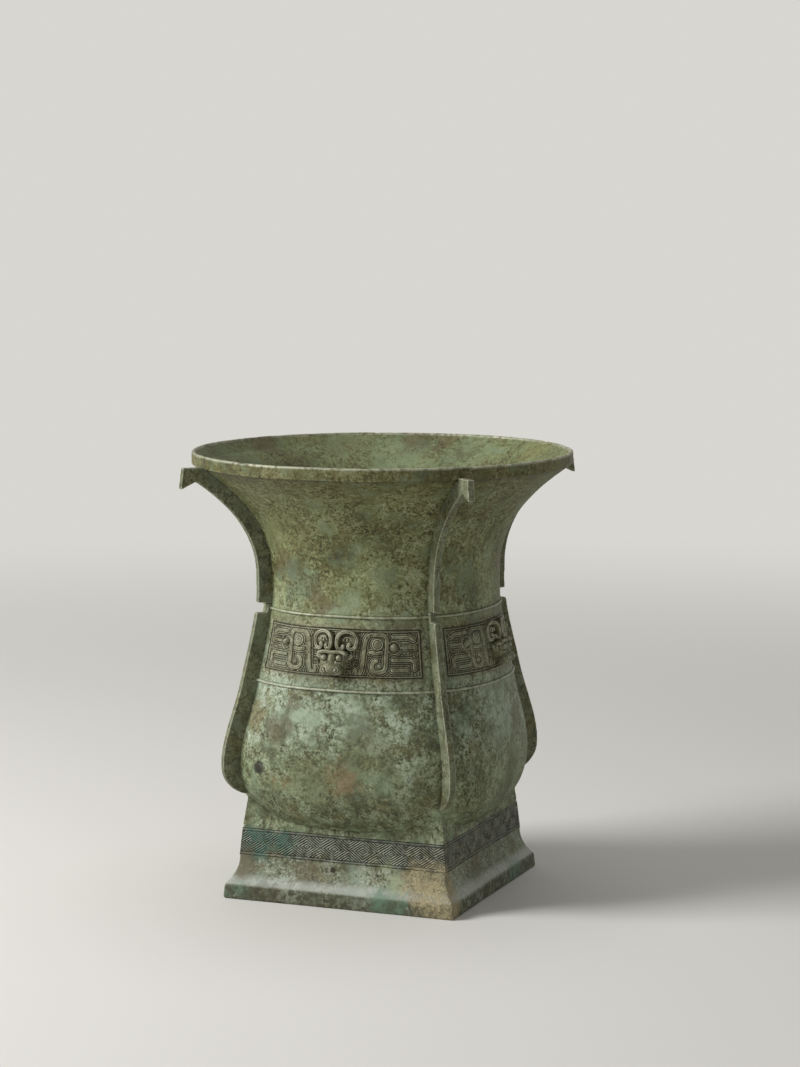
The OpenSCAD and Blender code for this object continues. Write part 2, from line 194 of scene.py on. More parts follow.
def curve_through(points, steps=8):
    """A smooth line through points."""
    points = np.array(points, float)
    padded = np.concatenate([2 * points[:1] - points[1:2], points, 2 * points[-1:] - points[-2:-1]])
    t = np.linspace(0, 1, steps, endpoint=False)[:, None]
    spans = [
        0.5 * (2 * b + (c - a) * t + (2 * a - 5 * b + 4 * c - d) * t ** 2 + (3 * b - a - 3 * c + d) * t ** 3)
        for a, b, c, d in zip(padded, padded[1:], padded[2:], padded[3:])]
    return np.concatenate([*spans, points[-1:]])


# Unevenness of an old casting

DENT_DEPTH, DENT_SIZE = 0.24, 17
DIMPLE_DEPTH, DIMPLE_SIZE = 0.10, 5
PIT_DEPTH, PIT_SIZE, PIT_START = 0.30, 1.8, 0.42
SAG_DEPTH, SAG_SIZE = 0.18, 24
AXIS_PRIMES = np.array((374761393, 668265263, 2246822519), np.uint32)
SEED_STEP = 144665
STIR_PRIME = np.uint32(1274126177)


def lattice(cells, seed):
    """A fixed value from -1 to 1 for each cell of a lattice."""
    mixed = (cells.astype(np.uint32) * AXIS_PRIMES).sum(-1, dtype=np.uint32) + np.uint32(seed * SEED_STEP)
    mixed = (mixed ^ (mixed >> np.uint32(13))) * STIR_PRIME
    mixed = mixed ^ (mixed >> np.uint32(16))
    return mixed / 2.0 ** 31 - 1


def noise(points, size, seed):
    """Smooth noise from -1 to 1 with features about size wide."""
    scaled = points / size
    cell = np.floor(scaled).astype(np.int64)
    t = smooth_step(scaled - cell)
    total = np.zeros(points.shape[:-1])
    for corner in product((0, 1), repeat=3):
        share = np.prod(np.where(corner, t, 1 - t), axis=-1)
        total += share * lattice(cell + np.array(corner), seed)
    return total


def weathered(points, share=1.0):
    """Points moved by dents and pits, the same for all pieces so that they still meet."""
    flat = points * (1, 1, 0)
    radial = flat / (np.linalg.norm(flat, axis=-1, keepdims=True) + 1e-9)
    dents = DENT_DEPTH * noise(points, DENT_SIZE, 1) + DIMPLE_DEPTH * noise(points, DIMPLE_SIZE, 2)
    pits = PIT_DEPTH * np.clip(noise(points, PIT_SIZE, 3) - PIT_START, 0, None)
    moved = points + radial * share * (dents - pits)[..., None]
    moved[..., 2] += share * SAG_DEPTH * noise(points, SAG_SIZE, 4)
    return np.clip(moved, BOX_LOW, BOX_HIGH)


# Meshes

BAKE_MAP = "OFBake"


def grid(rows, columns, close_rows=True, close_columns=True):
    """Quads of a closed grid of points, the map places of their corners, and caps of open ends."""
    i, j = np.meshgrid(
        np.arange(rows - (not close_rows)), np.arange(columns - (not close_columns)), indexing="ij")
    i, j = i.ravel(), j.ravel()
    steps = ((0, 0), (0, 1), (1, 1), (1, 0))
    quads = np.stack([(i + a) % rows * columns + (j + b) % columns for a, b in steps], 1)
    places = np.stack([np.stack([(j + b) / columns, (i + a) / rows], 1) for a, b in steps], 1)
    caps = []
    if not close_rows:
        first = np.arange(columns)
        caps = [first[::-1], first + (rows - 1) * columns]
    if not close_columns:
        left = np.arange(rows) * columns
        caps = [left, left[::-1] + columns - 1]
    return quads, places, caps


def new_mesh(points, quads, caps, places=None):
    """A mesh of quads and caps, with a map for bakes where places are given."""
    mesh = bpy.data.meshes.new("shape")
    corners = np.concatenate([quads.ravel(), *caps]).astype(np.int32)
    sizes = np.concatenate([np.full(len(quads), 4), [len(cap) for cap in caps]]).astype(np.int32)
    mesh.vertices.add(len(points))
    mesh.loops.add(len(corners))
    mesh.loops.foreach_set("vertex_index", corners)
    mesh.polygons.add(len(sizes))
    mesh.polygons.foreach_set("loop_start", (np.cumsum(sizes) - sizes).astype(np.int32))
    mesh.update(calc_edges=True)
    set_points(mesh, points)
    if places is not None:
        layer = mesh.uv_layers.new(name=BAKE_MAP, do_init=False)
        flat = np.zeros((len(corners), 2), np.float32)
        flat[:quads.size] = places.reshape(-1, 2)
        layer.uv.foreach_set("vector", flat.ravel())
    return mesh


def sheet_mesh(points, **closed):
    """A weathered closed mesh from rows of points."""
    quads, places, caps = grid(*points.shape[:2], **closed)
    return new_mesh(weathered(points.reshape(-1, 3)), quads, caps, places)


def stacked_mesh(stacks):
    """One mesh of closed shapes, each a stack of rings of points."""
    points = []
    quads = []
    caps = []
    count = 0
    for rings in stacks:
        stack_quads, _, stack_caps = grid(*rings.shape[:2], close_rows=False)
        points.append(rings.reshape(-1, 3))
        quads.append(stack_quads + count)
        caps += [cap + count for cap in stack_caps]
        count += len(points[-1])
    return new_mesh(np.concatenate(points), np.concatenate(quads), caps)


def read(items, name, kind, width):
    """One property of all items, as rows of numbers."""
    values = np.empty(len(items) * width, kind)
    items.foreach_get(name, values)
    return values.reshape(-1, width)


def points_of(mesh):
    return read(mesh.vertices, "co", np.float32, 3).astype(float) / MM


def set_points(mesh, points):
    mesh.vertices.foreach_set("co", (points * MM).astype(np.float32).ravel())
    mesh.update()


def set_value(mesh, name, value):
    """A value for the materials at each vertex."""
    values = np.full(len(mesh.vertices), value, np.float32)
    mesh.attributes.new(name, "FLOAT", "POINT").data.foreach_set("value", values)


def bend_of(mesh):
    """How hollow the surface is at each vertex: below 0 on edges and ridges, above 0 in grooves."""
    points = points_of(mesh)
    normals = read(mesh.vertex_normals, "vector", np.float32, 3)
    a, b = read(mesh.edges, "vertices", np.int32, 2).T
    count = len(points)
    ends = np.maximum(np.bincount(a, minlength=count) + np.bincount(b, minlength=count), 1)

    def mean(at_a, at_b):
        """Mean over the edges of each vertex."""
        return (np.bincount(a, at_a, count) + np.bincount(b, at_b, count)) / ends

    way = points[b] - points[a]
    square = (way ** 2).sum(1) + 1e-6
    bend = mean((way * normals[a]).sum(1) / square, -(way * normals[b]).sum(1) / square)
    return np.clip((bend + mean(bend[b], bend[a])) / 2, -1, 1)


def new_object(name, data):
    item = bpy.data.objects.new(name, data)
    bpy.context.scene.collection.objects.link(item)
    return item


def add_piece(name, mesh, slot, nodes=(), second=0.0, inside=0.0, sharp_angle=38, bend=None):
    """Puts a finished mesh into the scene as a piece."""
    mesh.name = name
    mesh.shade_smooth()
    mesh.set_sharp_from_angle(angle=math.radians(sharp_angle))
    set_value(mesh, "bend", bend_of(mesh) if bend is None else bend)
    set_value(mesh, "second", second)
    set_value(mesh, "inside", inside)
    mesh.materials.append(MATERIALS[slot])
    piece = new_object(name, mesh)
    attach(piece, "root")
    if nodes:
        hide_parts(*nodes)


# Materials

def srgb(*levels):
    """Linear colour of display levels from 0 to 255."""
    shares = [level / 255 for level in levels]
    return (*[s / 12.92 if s < 0.04045 else ((s + 0.055) / 1.055) ** 2.4 for s in shares], 1)


class Paint:
    """Builds the nodes of a material or of the world."""

    def __init__(self, owner):
        self.owner = owner
        owner.use_nodes = True
        self.tree = owner.node_tree

    @cached_property
    def shader(self):
        return self.tree.nodes["Principled BSDF"]

    @cached_property
    def place(self):
        return self.node("ShaderNodeTexCoord").outputs["Object"]

    def fill(self, node, inputs):
        """Sets or links a node's inputs."""
        for socket, value in inputs.items():
            if isinstance(value, bpy.types.NodeSocket):
                self.tree.links.new(value, node.inputs[socket])
            else:
                node.inputs[socket].default_value = value

    def node(self, kind, inputs=None, **settings):
        made = self.tree.nodes.new(kind)
        for name, value in settings.items():
            setattr(made, name, value)
        self.fill(made, inputs or {})
        return made

    def math(self, operation, *values):
        return self.node("ShaderNodeMath", dict(enumerate(values)), operation=operation).outputs[0]

    def times(self, a, b):
        return self.math("MULTIPLY", a, b)

    def plus(self, value, share, level):
        """A level and a share of a value."""
        return self.math("MULTIPLY_ADD", value, share, level)

    def swing(self, noise, share, level):
        """A level moved by a share of a noise's swing about its middle."""
        return self.plus(self.math("SUBTRACT", noise, 0.5), share, level)

    def mottled(self, strength, weights, noises):
        """A level about 0.5 that follows noises by their weights."""
        level = 0.5
        for noise, weight in zip(noises, weights):
            level = self.swing(noise, weight * strength, level)
        return level

    def spread(self, value, low, high, to_low=0.0, to_high=1.0):
        """A value smoothly spread from one range over another."""
        inputs = {"Value": value, "From Min": low, "From Max": high, "To Min": to_low, "To Max": to_high}
        return self.node("ShaderNodeMapRange", inputs, interpolation_type="SMOOTHSTEP").outputs[0]

    def vector(self, operation, *values):
        """A vector, or a number where the operation gives one."""
        made = self.node("ShaderNodeVectorMath", dict(enumerate(values)), operation=operation)
        return made.outputs["Value" if operation in ("DISTANCE", "LENGTH") else "Vector"]

    def noise(self, size, detail, roughness, shift=0.0, output="Fac"):
        """Noise with features about size wide, set apart from others by a shift."""
        place = self.vector("ADD", self.place, (shift * MM,) * 3)
        inputs = {"Vector": place, "Scale": 1 / (size * MM), "Detail": detail, "Roughness": roughness}
        return self.node("ShaderNodeTexNoise", inputs).outputs[output]

    def warped(self, amount, size):
        """The place, pushed about so that patches get ragged edges."""
        wander = self.noise(size, 4, 0.6, output="Color")
        centred = self.vector("SUBTRACT", wander, (0.5,) * 3)
        return self.vector("MULTIPLY_ADD", centred, (amount * MM,) * 3, self.place)

    def near(self, place, centre, reach):
        """1 close to a centre, 0 farther off than its reach."""
        distance = self.vector("DISTANCE", place, tuple(c * MM for c in centre))
        return self.spread(distance, reach * MM, FULL_SHARE * reach * MM)

    def zone(self, height, start, end):
        """A share that grows from one height to another."""
        return self.spread(height, start * MM, end * MM)

    def seen(self):
        """1 for rays that show something: to the camera, in a reflection or through glass."""
        rays = self.node("ShaderNodeLightPath").outputs
        reflected = self.math("MAXIMUM", rays["Is Glossy Ray"], rays["Is Transmission Ray"])
        return self.math("MAXIMUM", rays["Is Camera Ray"], reflected)

    def value(self, name):
        return self.node("ShaderNodeAttribute", attribute_name=name).outputs["Fac"]

    def tones(self, level, name):
        """A colour that follows a level through the tones of a name."""
        made = self.node("ShaderNodeValToRGB", {"Fac": level})
        elements = made.color_ramp.elements
        elements.remove(elements[1])
        elements[0].position = TONE_STOPS[0]
        for stop in TONE_STOPS[1:]:
            elements.new(stop)
        for element, tone in zip(elements, TONES[name]):
            element.color = srgb(*tone)
        return made.outputs["Color"]

    def cover(self, share, colour):
        """Puts a share of a colour over the colour so far."""
        inputs = {"Factor": share, 6: self.colour, 7: colour}
        made = self.node("ShaderNodeMix", inputs, data_type="RGBA", clamp_factor=True)
        self.colour = made.outputs[2]

    def film(self, value, colour, start, end, strength):
        """Covers the colour so far where a value runs from start to end."""
        self.cover(self.spread(value, start, end, 0, strength), colour)


# Tones of the patina, each from dark stains over olive and plain patina to pale bloom
TONE_STOPS = (0.30, 0.41, 0.50, 0.59, 0.70)
TONES = {
    "belly": ((64, 66, 49), (92, 98, 74), (121, 130, 104), (150, 161, 137), (176, 187, 168)),
    "under": ((66, 67, 48), (87, 92, 66), (108, 116, 86), (131, 140, 108), (156, 166, 136)),
    "foot": ((74, 73, 56), (96, 99, 78), (119, 125, 104), (141, 149, 130), (164, 172, 155)),
    "neck": ((66, 60, 38), (88, 89, 55), (110, 114, 75), (132, 138, 98), (155, 163, 127)),
    "lip": ((60, 55, 31), (74, 72, 41), (89, 88, 52), (106, 106, 69), (129, 130, 94)),
    "inner": ((60, 56, 33), (76, 76, 46), (92, 96, 60), (107, 114, 76), (124, 132, 95)),
    "band": ((30, 31, 25), (43, 46, 38), (58, 63, 54), (78, 84, 74), (104, 110, 98)),
    "panel": ((57, 53, 39), (83, 80, 59), (108, 107, 82), (132, 132, 105), (157, 158, 132)),
    # Flange tones: the flanges' own colour, set a little darker as painted shade
    "flange": ((56, 55, 40), (78, 80, 59), (101, 105, 80), (124, 128, 102), (147, 152, 127)),
    "mask": ((54, 51, 37), (79, 77, 55), (104, 103, 77), (130, 129, 103), (156, 156, 132)),
    "spacer": ((30, 27, 21), (38, 35, 27), (46, 43, 33), (55, 52, 41), (66, 63, 50)),
}

# Slots: tones low on the vessel, at its neck and where a piece asks for others, strength of mottling and wear
SLOTS = {
    "patinated_bronze": ("belly", "neck", "band", 1.0, 0.7),
    "ornament_bronze": ("belly", "neck", "panel", 0.8, 0.7),
    "inner_bronze": ("inner", "inner", "inner", 0.9, 0.5),
    "flange_bronze": ("flange", "flange", "flange", 0.7, 0.8),
    # The mask's strong wear is partly real rubbing and partly a painted highlight on its brow and high points
    "mask_bronze": ("mask", "mask", "mask", 0.6, 0.95),
    "spacer_bronze": ("spacer", "spacer", "belly", 0.8, 0.3),
}

# Noises: size, detail, roughness and shift
BROAD = (32, 2, 0.55, 41)
CLOUDS = (8, 5, 0.6, 0)
CLUSTERS = (12, 4, 0.55, 113)
FLECKS = (2.8, 4, 0.6, 173)
GRAIN = (1.2, 3, 0.6, 67)
CRUST_PITS = (0.9, 2, 0.55, 91)

# Weights of the broad noise, clouds, flecks and grain in plain and in fine mottling
PLAIN_WEIGHTS = (0.4, 0.7, 0.78, 0.88)
FINE_WEIGHTS = (0.5, 0.4, 0.7, 0.95)

# Heights between which one tone gives way to another, and how far they wander
NECK_ZONE = (125, 168)
LIP_ZONE = (208, 226)
UNDER_TOP_ZONE = (96, 70)
UNDER_FOOT_ZONE = (24, 44)
FOOT_ZONE = (30, 22)
EDGE_ZONE = (BASE_EDGE_Z + 0.3, BASE_EDGE_Z - 0.7)
# Heights of the cove's polished band, which also carries a painted highlight
POLISH_AND_HIGHLIGHT_FOOT_ZONE = (BASE_EDGE_Z - 0.5, BASE_EDGE_Z + 1)
POLISH_AND_HIGHLIGHT_TOP_ZONE = (13.5, 9.5)
ZONE_WANDER = 40

# Films over the tones: colour, and the start, end and strength of what they follow
SPECK_TONE = srgb(47, 44, 31)
SPECKS = (SPECK_TONE, 0.60, 0.74, 0.5)
BROWN_FILM = (srgb(92, 80, 58), 0.55, 0.64, 0.4)
TEAL_FILM = (srgb(96, 120, 106), 0.03, 0.13, 0.25)
YELLOW_FILM = (srgb(126, 122, 76), -0.03, -0.11, 0.25)
HOLLOW_DIRT_AND_SHADE = (srgb(33, 31, 23), 0.05, 0.75, 0.8)
WORN_TONE = srgb(172, 173, 153)
# Painted highlight along the foot's cove, and its share
PAINTED_HIGHLIGHT_TONE = srgb(174, 178, 170)
PAINTED_HIGHLIGHT_SHARE = 0.55
EDGE_TONE = srgb(62, 60, 44)
PIT_TONE = srgb(122, 108, 78)
PIT_SHARE = 0.4

# Spreads: start and end of what they follow, and the share or the roughness at each
ROUGH_SPREAD = (0.40, 0.60, 0.4, 1.4)
EDGE_SPREAD = (0.42, 0.6, 0.8, 0.35)
RIDGE_SPREAD = (-0.05, -0.6)
RUBBED_SPREAD = (0.38, 0.56, 0.4, 1)
BROKEN_SPREAD = (0.34, 0.58, 0.35, 1)
PIT_SPREAD = (0.62, 0.36)
DULL_SPREAD = (0.3, 0.7, 0.52, 0.68)

# Shares by which noises and wear drive films, relief and shine
BROWN_FLECKS = 0.45
TINT_SWING = 0.6
FLECK_RELIEF, GRAIN_RELIEF, PIT_RELIEF = 0.9, 0.7, -0.9
RUBBED_SHINE, POLISHED_SHINE = 0.16, 0.2
RUBBED_METAL = 0.3

STAINS = {
    "bloom": (158, 173, 151), "pale": (151, 159, 122), "mint": (120, 132, 99), "grey": (98, 114, 94),
    "green": (86, 116, 93), "teal": (58, 97, 84), "olive": (101, 107, 73), "yellow": (122, 125, 78),
    "ochre": (112, 97, 58), "rust": (126, 84, 56), "brown": (89, 76, 53), "dark": (60, 58, 43),
    "crust": (169, 157, 122),
}

# Stains of the front from the neck down, the mouth, the right side, the back and the left side:
# centre, reach, strength and kind, full within a share of the reach
FULL_SHARE = 0.45
PATCHES = (
    (-28, -62, 192, 20, 0.45, "yellow"), (-31, -54, 173, 10, 0.6, "brown"), (-22, -57, 166, 15, 0.5, "grey"),
    (-9, -59, 158, 10, 0.6, "brown"), (-36, -50, 158, 10, 0.5, "pale"), (-14, -67, 100, 13, 0.6, "bloom"),
    (8, -67, 101, 15, 0.5, "bloom"), (-23, -65, 104, 7, 0.55, "brown"), (-30, -66, 91, 10, 0.6, "brown"),
    (14, -68, 94, 10, 0.6, "dark"), (-46, -59, 96, 11, 0.6, "ochre"), (18, -69, 84, 19, 0.5, "olive"),
    (6, -70, 68, 12, 0.5, "rust"), (-11, -70, 66, 18, 0.5, "olive"), (-27, -69, 65, 6, 0.55, "ochre"),
    (-47, -56, 27.5, 12, 0.7, "teal"), (-32, -56, 28.4, 9, 0.65, "teal"), (-53, -57, 18.5, 11, 0.7, "brown"),
    (-20, -58, 16, 9, 0.65, "brown"), (29, -58, 15, 9, 0.6, "pale"), (-54, -63, 5, 9, 0.45, "green"),
    (-38, -63, 3, 9, 0.5, "dark"), (27, -63, 3, 14, 0.75, "green"),
    (-22, 80, 216, 22, 0.7, "mint"), (17, 86, 220, 18, 0.65, "mint"), (-18, 91, 225, 10, 0.6, "brown"),
    (-3, 90, 222, 6, 0.6, "brown"), (-50, 77, 223, 14, 0.5, "olive"), (-86, 40, 226, 12, 0.55, "brown"),
    (60, 72, 226, 18, 0.5, "yellow"),
    (57, -24, 166, 13, 0.5, "grey"), (55, 20, 175, 12, 0.55, "brown"), (66, -12, 98, 15, 0.55, "bloom"),
    (67, 18, 90, 12, 0.55, "brown"), (69, 6, 70, 15, 0.5, "olive"), (58, -16, 17, 9, 0.6, "brown"),
    (63, 28, 4, 13, 0.65, "green"),
    (22, 57, 170, 14, 0.5, "grey"), (-18, 57, 160, 11, 0.55, "brown"), (12, 67, 99, 16, 0.55, "bloom"),
    (-24, 67, 92, 12, 0.55, "brown"), (32, 68, 76, 13, 0.5, "ochre"), (-6, 70, 70, 17, 0.5, "olive"),
    (16, 58, 16, 10, 0.6, "brown"), (-28, 62, 4, 13, 0.65, "green"),
    (-57, -16, 174, 14, 0.5, "yellow"), (-56, 22, 160, 11, 0.55, "brown"), (-66, 14, 97, 15, 0.55, "bloom"),
    (-67, -14, 84, 13, 0.55, "brown"), (-69, 20, 70, 15, 0.5, "olive"), (-62, -8, 5, 12, 0.6, "teal"),
)
CRUSTS = ((47, -58, 15, 17, 0.85, "crust"), (57, -62, 7, 15, 0.85, "crust"))
SPOTS = ((-41.4, -66, 71, 4.6), (-4.3, -57, 18.6, 2.0), (8.5, -58, 17, 1.3), (20, -58, 18, 1.6))


def patina(slot):
    """Matt patina in clouds of several sizes, dark in hollows and rubbed along edges; the hollows' darkening
    also lays painted shade, and the foot's cove gets a painted highlight.
    """
    paint = Paint(bpy.data.materials.new(slot))
    low, high, second, mottling, wear = SLOTS[slot]
    bend = paint.value("bend")
    height = paint.node("ShaderNodeSeparateXYZ", {0: paint.place}).outputs["Z"]

    broad = paint.noise(*BROAD)
    clouds = paint.noise(*CLOUDS)
    cluster = paint.noise(*CLUSTERS)
    rough = paint.spread(cluster, *ROUGH_SPREAD)
    fleck = paint.swing(paint.noise(*FLECKS), rough, 0.5)
    grain = paint.swing(paint.noise(*GRAIN), rough, 0.5)
    noises = (broad, clouds, fleck, grain)

    level = paint.mottled(mottling, PLAIN_WEIGHTS, noises)
    fine = paint.mottled(mottling, FINE_WEIGHTS, noises)
    if slot == "ornament_bronze":
        level = fine
    climb = paint.swing(broad, ZONE_WANDER * MM, height)
    paint.colour = paint.tones(level, low)
    paint.cover(paint.zone(climb, *NECK_ZONE), paint.tones(fine, high))
    if slot == "patinated_bronze":
        under = paint.times(paint.zone(climb, *UNDER_TOP_ZONE), paint.zone(climb, *UNDER_FOOT_ZONE))
        paint.cover(under, paint.tones(level, "under"))
        paint.cover(paint.zone(height, *FOOT_ZONE), paint.tones(fine, "foot"))
        paint.cover(paint.zone(climb, *LIP_ZONE), paint.tones(fine, "lip"))
    paint.cover(paint.value("second"), paint.tones(level, second))
    paint.cover(paint.value("inside"), paint.tones(fine, "inner"))

    paint.film(paint.plus(fleck, BROWN_FLECKS, paint.times(cluster, 1 - BROWN_FLECKS)), *BROWN_FILM)
    tinted = paint.plus(cluster, -TINT_SWING, paint.times(clouds, TINT_SWING))
    paint.film(tinted, *TEAL_FILM)
    paint.film(tinted, *YELLOW_FILM)
    paint.film(grain, *SPECKS)

    edge = paint.times(paint.zone(height, *EDGE_ZONE), paint.spread(fleck, *EDGE_SPREAD))
    paint.cover(edge, EDGE_TONE)
    # Painted highlight: a pale band along the foot's cove, where the roughness also drops as on polished
    # metal
    polish_and_highlight = paint.times(paint.zone(height, *POLISH_AND_HIGHLIGHT_FOOT_ZONE), paint.zone(height, *POLISH_AND_HIGHLIGHT_TOP_ZONE))
    paint.cover(paint.times(polish_and_highlight, PAINTED_HIGHLIGHT_SHARE), PAINTED_HIGHLIGHT_TONE)

    # Dark dirt in hollows and grooves, and through the hollowness also the painted shade beside the flanges
    # and under the lip
    paint.film(bend, *HOLLOW_DIRT_AND_SHADE)
    # Pale rubbed wear on ridges and edges; on the mask it also paints a highlight
    ridge = paint.times(paint.spread(bend, *RIDGE_SPREAD), paint.spread(fleck, *RUBBED_SPREAD))
    rubbed = paint.times(ridge, wear)
    paint.cover(rubbed, WORN_TONE)

    relief = paint.plus(fleck, FLECK_RELIEF, paint.times(grain, GRAIN_RELIEF))
    if slot in ("patinated_bronze", "ornament_bronze"):
        ragged = paint.warped(amount=26, size=7)
        broken = paint.spread(level, *BROKEN_SPREAD)
        for *centre, reach, strength, kind in PATCHES + CRUSTS:
            share = paint.times(paint.near(ragged, centre, reach), strength)
            paint.cover(paint.times(share, broken), srgb(*STAINS[kind]))
        speckled = paint.warped(amount=2.5, size=1.5)
        for *centre, reach in SPOTS:
            paint.cover(paint.near(speckled, centre, reach), SPECK_TONE)
        crust = paint.math("MAXIMUM", *[paint.near(ragged, centre, reach) for *centre, reach, _, _ in CRUSTS])
        pits = paint.times(paint.spread(paint.noise(*CRUST_PITS), *PIT_SPREAD), crust)
        paint.cover(paint.times(pits, PIT_SHARE), PIT_TONE)
        relief = paint.plus(pits, PIT_RELIEF, relief)

    dull = paint.spread(clouds, *DULL_SPREAD)
    dull = paint.plus(rubbed, -RUBBED_SHINE, dull)
    dull = paint.plus(polish_and_highlight, -POLISHED_SHINE, dull)
    bump = paint.node("ShaderNodeBump", {"Strength": 0.6, "Distance": 0.4 * MM, "Height": relief})
    paint.fill(paint.shader, {
        "Base Color": paint.colour, "Roughness": dull, "Metallic": paint.times(rubbed, RUBBED_METAL),
        "Specular IOR Level": 0.28, "Normal": bump.outputs["Normal"],
    })
    return paint.owner


MATERIALS = {slot: patina(slot) for slot in SLOTS}


# Walls

AROUND = full_turn(480)
# Painted shade on the wall beside the flanges: strength and width
ROOT_SHADE, ROOT_SHADE_W = 0.32, 1.3


def wall_piece(name, node, outer, inner, wear=0.0, sunk=None, second=0.0, slot="patinated_bronze"):
    """A closed ring of wall from rows of points: up the outside, then down the inside."""
    points = np.concatenate([outer, inner])
    rows, columns = points.shape[:2]
    split = len(outer)
    mesh = sheet_mesh(points)
    bend = bend_of(mesh).reshape(rows, columns)
    for end_row, next_row in ((0, 1), (split - 1, split - 2), (split, split + 1), (rows - 1, rows - 2)):
        bend[end_row] = bend[next_row]
    # The outside's hollowness gains painted shade beside the flanges and loses wear; a negative wear adds
    # painted shade
    bend[:split] += root_shade(outer) - wear
    if sunk is not None:
        points[:split] = sunk
        set_points(mesh, weathered(points.reshape(-1, 3)))
    tinted = np.zeros((rows, columns))
    tinted[:split] = second
    inside = np.repeat(np.arange(rows) >= split, columns)
    add_piece(name, mesh, slot, [node], tinted.ravel(), inside, bend=bend.ravel())


def root_shade(points):
    """Painted shade on the wall beside the flanges, counted as a hollow."""
    x, y, z = np.moveaxis(points, -1, 0)
    from_flange = np.abs(np.abs(x) - np.abs(y)) / math.sqrt(2) - FLANGE_T / 2
    darkening = ROOT_SHADE * bell(np.clip(from_flange, 0, None), ROOT_SHADE_W)
    return np.where(z > FLANGE_FOOT_Z, darkening, 0)


def rows_between(low, high, step):
    return np.linspace(low, high, max(2, round((high - low) / step) + 1))[:, None]


LIP_EDGE_W = 1.8
LIP_RUB, LIP_RUB_H = 0.4, 1.6
# Painted shade on the neck just under the lip: strength and reach
LIP_SHADE, LIP_SHADE_H = 0.4, 1.6
NICK_DEPTH, NICK_SIZE, NICK_START = 0.9, 5, 0.45


def lip():
    """Upright lip with a rounded top edge that has small nicks."""
    edge_r = LIP_EDGE_W / 2
    edge_z = TOP_Z - edge_r
    top = on_ring(MOUTH_R, AROUND, TOP_Z)
    nicks = NICK_DEPTH * np.clip(noise(top, NICK_SIZE, 21) - NICK_START, 0, None)
    bead = np.linspace(0, math.pi, 11)[:, None]
    outer = np.concatenate([
        on_ring(MOUTH_R, AROUND, rows_between(LIP_Z, edge_z, 0.7)[:-1]),
        on_ring(MOUTH_R - edge_r + edge_r * np.cos(bead), AROUND, edge_z + (edge_r - nicks) * np.sin(bead)),
    ])
    t = np.linspace(0, 1, 9)[1:, None]
    slant_w = LIP_EDGE_W - level_wall(CORNERS, LIP_Z)
    slant = on_ring(MOUTH_R - LIP_EDGE_W + slant_w * t, AROUND, edge_z + (LIP_Z - edge_z) * t)
    rub = LIP_RUB * smooth_step(outer[..., 2] - TOP_Z + LIP_RUB_H)
    wall_piece("lip", "rim_lip", outer, slant, rub)


def neck():
    """Wall that grows from the rounded square into the round mouth."""
    z = NECK_Z + (LIP_Z - NECK_Z) * np.sin(np.linspace(0, math.pi / 2, 90))[:, None]
    # Painted shade just under the lip, passed on as negative wear so that it darkens the neck like a hollow
    lip_shade = LIP_SHADE * bell(LIP_Z - z, LIP_SHADE_H)
    outer = outer_skin(z, AROUND)
    wall_piece("neck", "trumpet_neck", outer, inner_skin(z[::-2], AROUND), -lip_shade)


FOOT_TOP_HALF = 55.1
ROOT_H = 15.0
ROOT_TOP_HALF = 53.2


def belly():
    """Round belly whose underside overhangs the foot between the corners' roots."""
    a = AROUND
    spread = np.maximum(np.abs(np.cos(a)), np.abs(np.sin(a)))

    def root_r(z):
        half = FOOT_TOP_HALF + (ROOT_TOP_HALF - FOOT_TOP_HALF) * (z - BELLY_Z) / ROOT_H
        return half / spread

    # Height at which the bowl comes out of the roots, found by halving
    low = np.full(a.shape, BELLY_Z)
    high = np.full(a.shape, WIDEST_Z)
    for _ in range(40):
        middle = (low + high) / 2
        over = outside_r(middle, a) > root_r(middle)
        high = np.where(over, middle, high)
        low = np.where(over, low, middle)
    root_z = BELLY_Z + (high - BELLY_Z) * np.linspace(0, 1, 13)[:-1, None]
    fall = np.arcsin((WIDEST_Z - high) / (WIDEST_Z - BELLY_Z)) * np.linspace(1, 0, 46)[:, None]
    bowl_z = WIDEST_Z - (WIDEST_Z - BELLY_Z) * np.sin(fall)
    shoulder_z = rows_between(WIDEST_Z, WAIST_Z, 1.0)[1:]
    outer = np.concatenate([
        on_ring(root_r(root_z), a, root_z), outer_skin(bowl_z, a), outer_skin(shoulder_z, a)])
    inner = np.concatenate([
        inner_skin(rows_between(FLOOR_TOP_Z, WAIST_Z, 1.9)[::-1], a),
        on_ring(FLOOR_R, a, np.array([[FLOOR_TOP_Z], [BELLY_Z]])),
    ])
    wall_piece("belly_wall", "belly", outer, inner)


# Waist band, with a string at each end and a sunk field on each face for its ornament panel

STRING_RISE = 1.0
STRING_HALF_W = 0.75
STRING_INSET = 1.3
STRING_CLEAR = 3.0
STRING_WEAR = 0.5
PANEL_FOOT_Z = 119.6
PANEL_TOP_Z = 144.2
PANEL_TURN = math.radians(39.5)
PANEL_DEPTH = 1.6
PANEL_WEAR = 1.0
PANEL_TINT, PANEL_TINT_W = 0.8, 2.2
FIELD_EDGE = 0.5
FIELD_SINK = 1.2
WAIST_R = 65


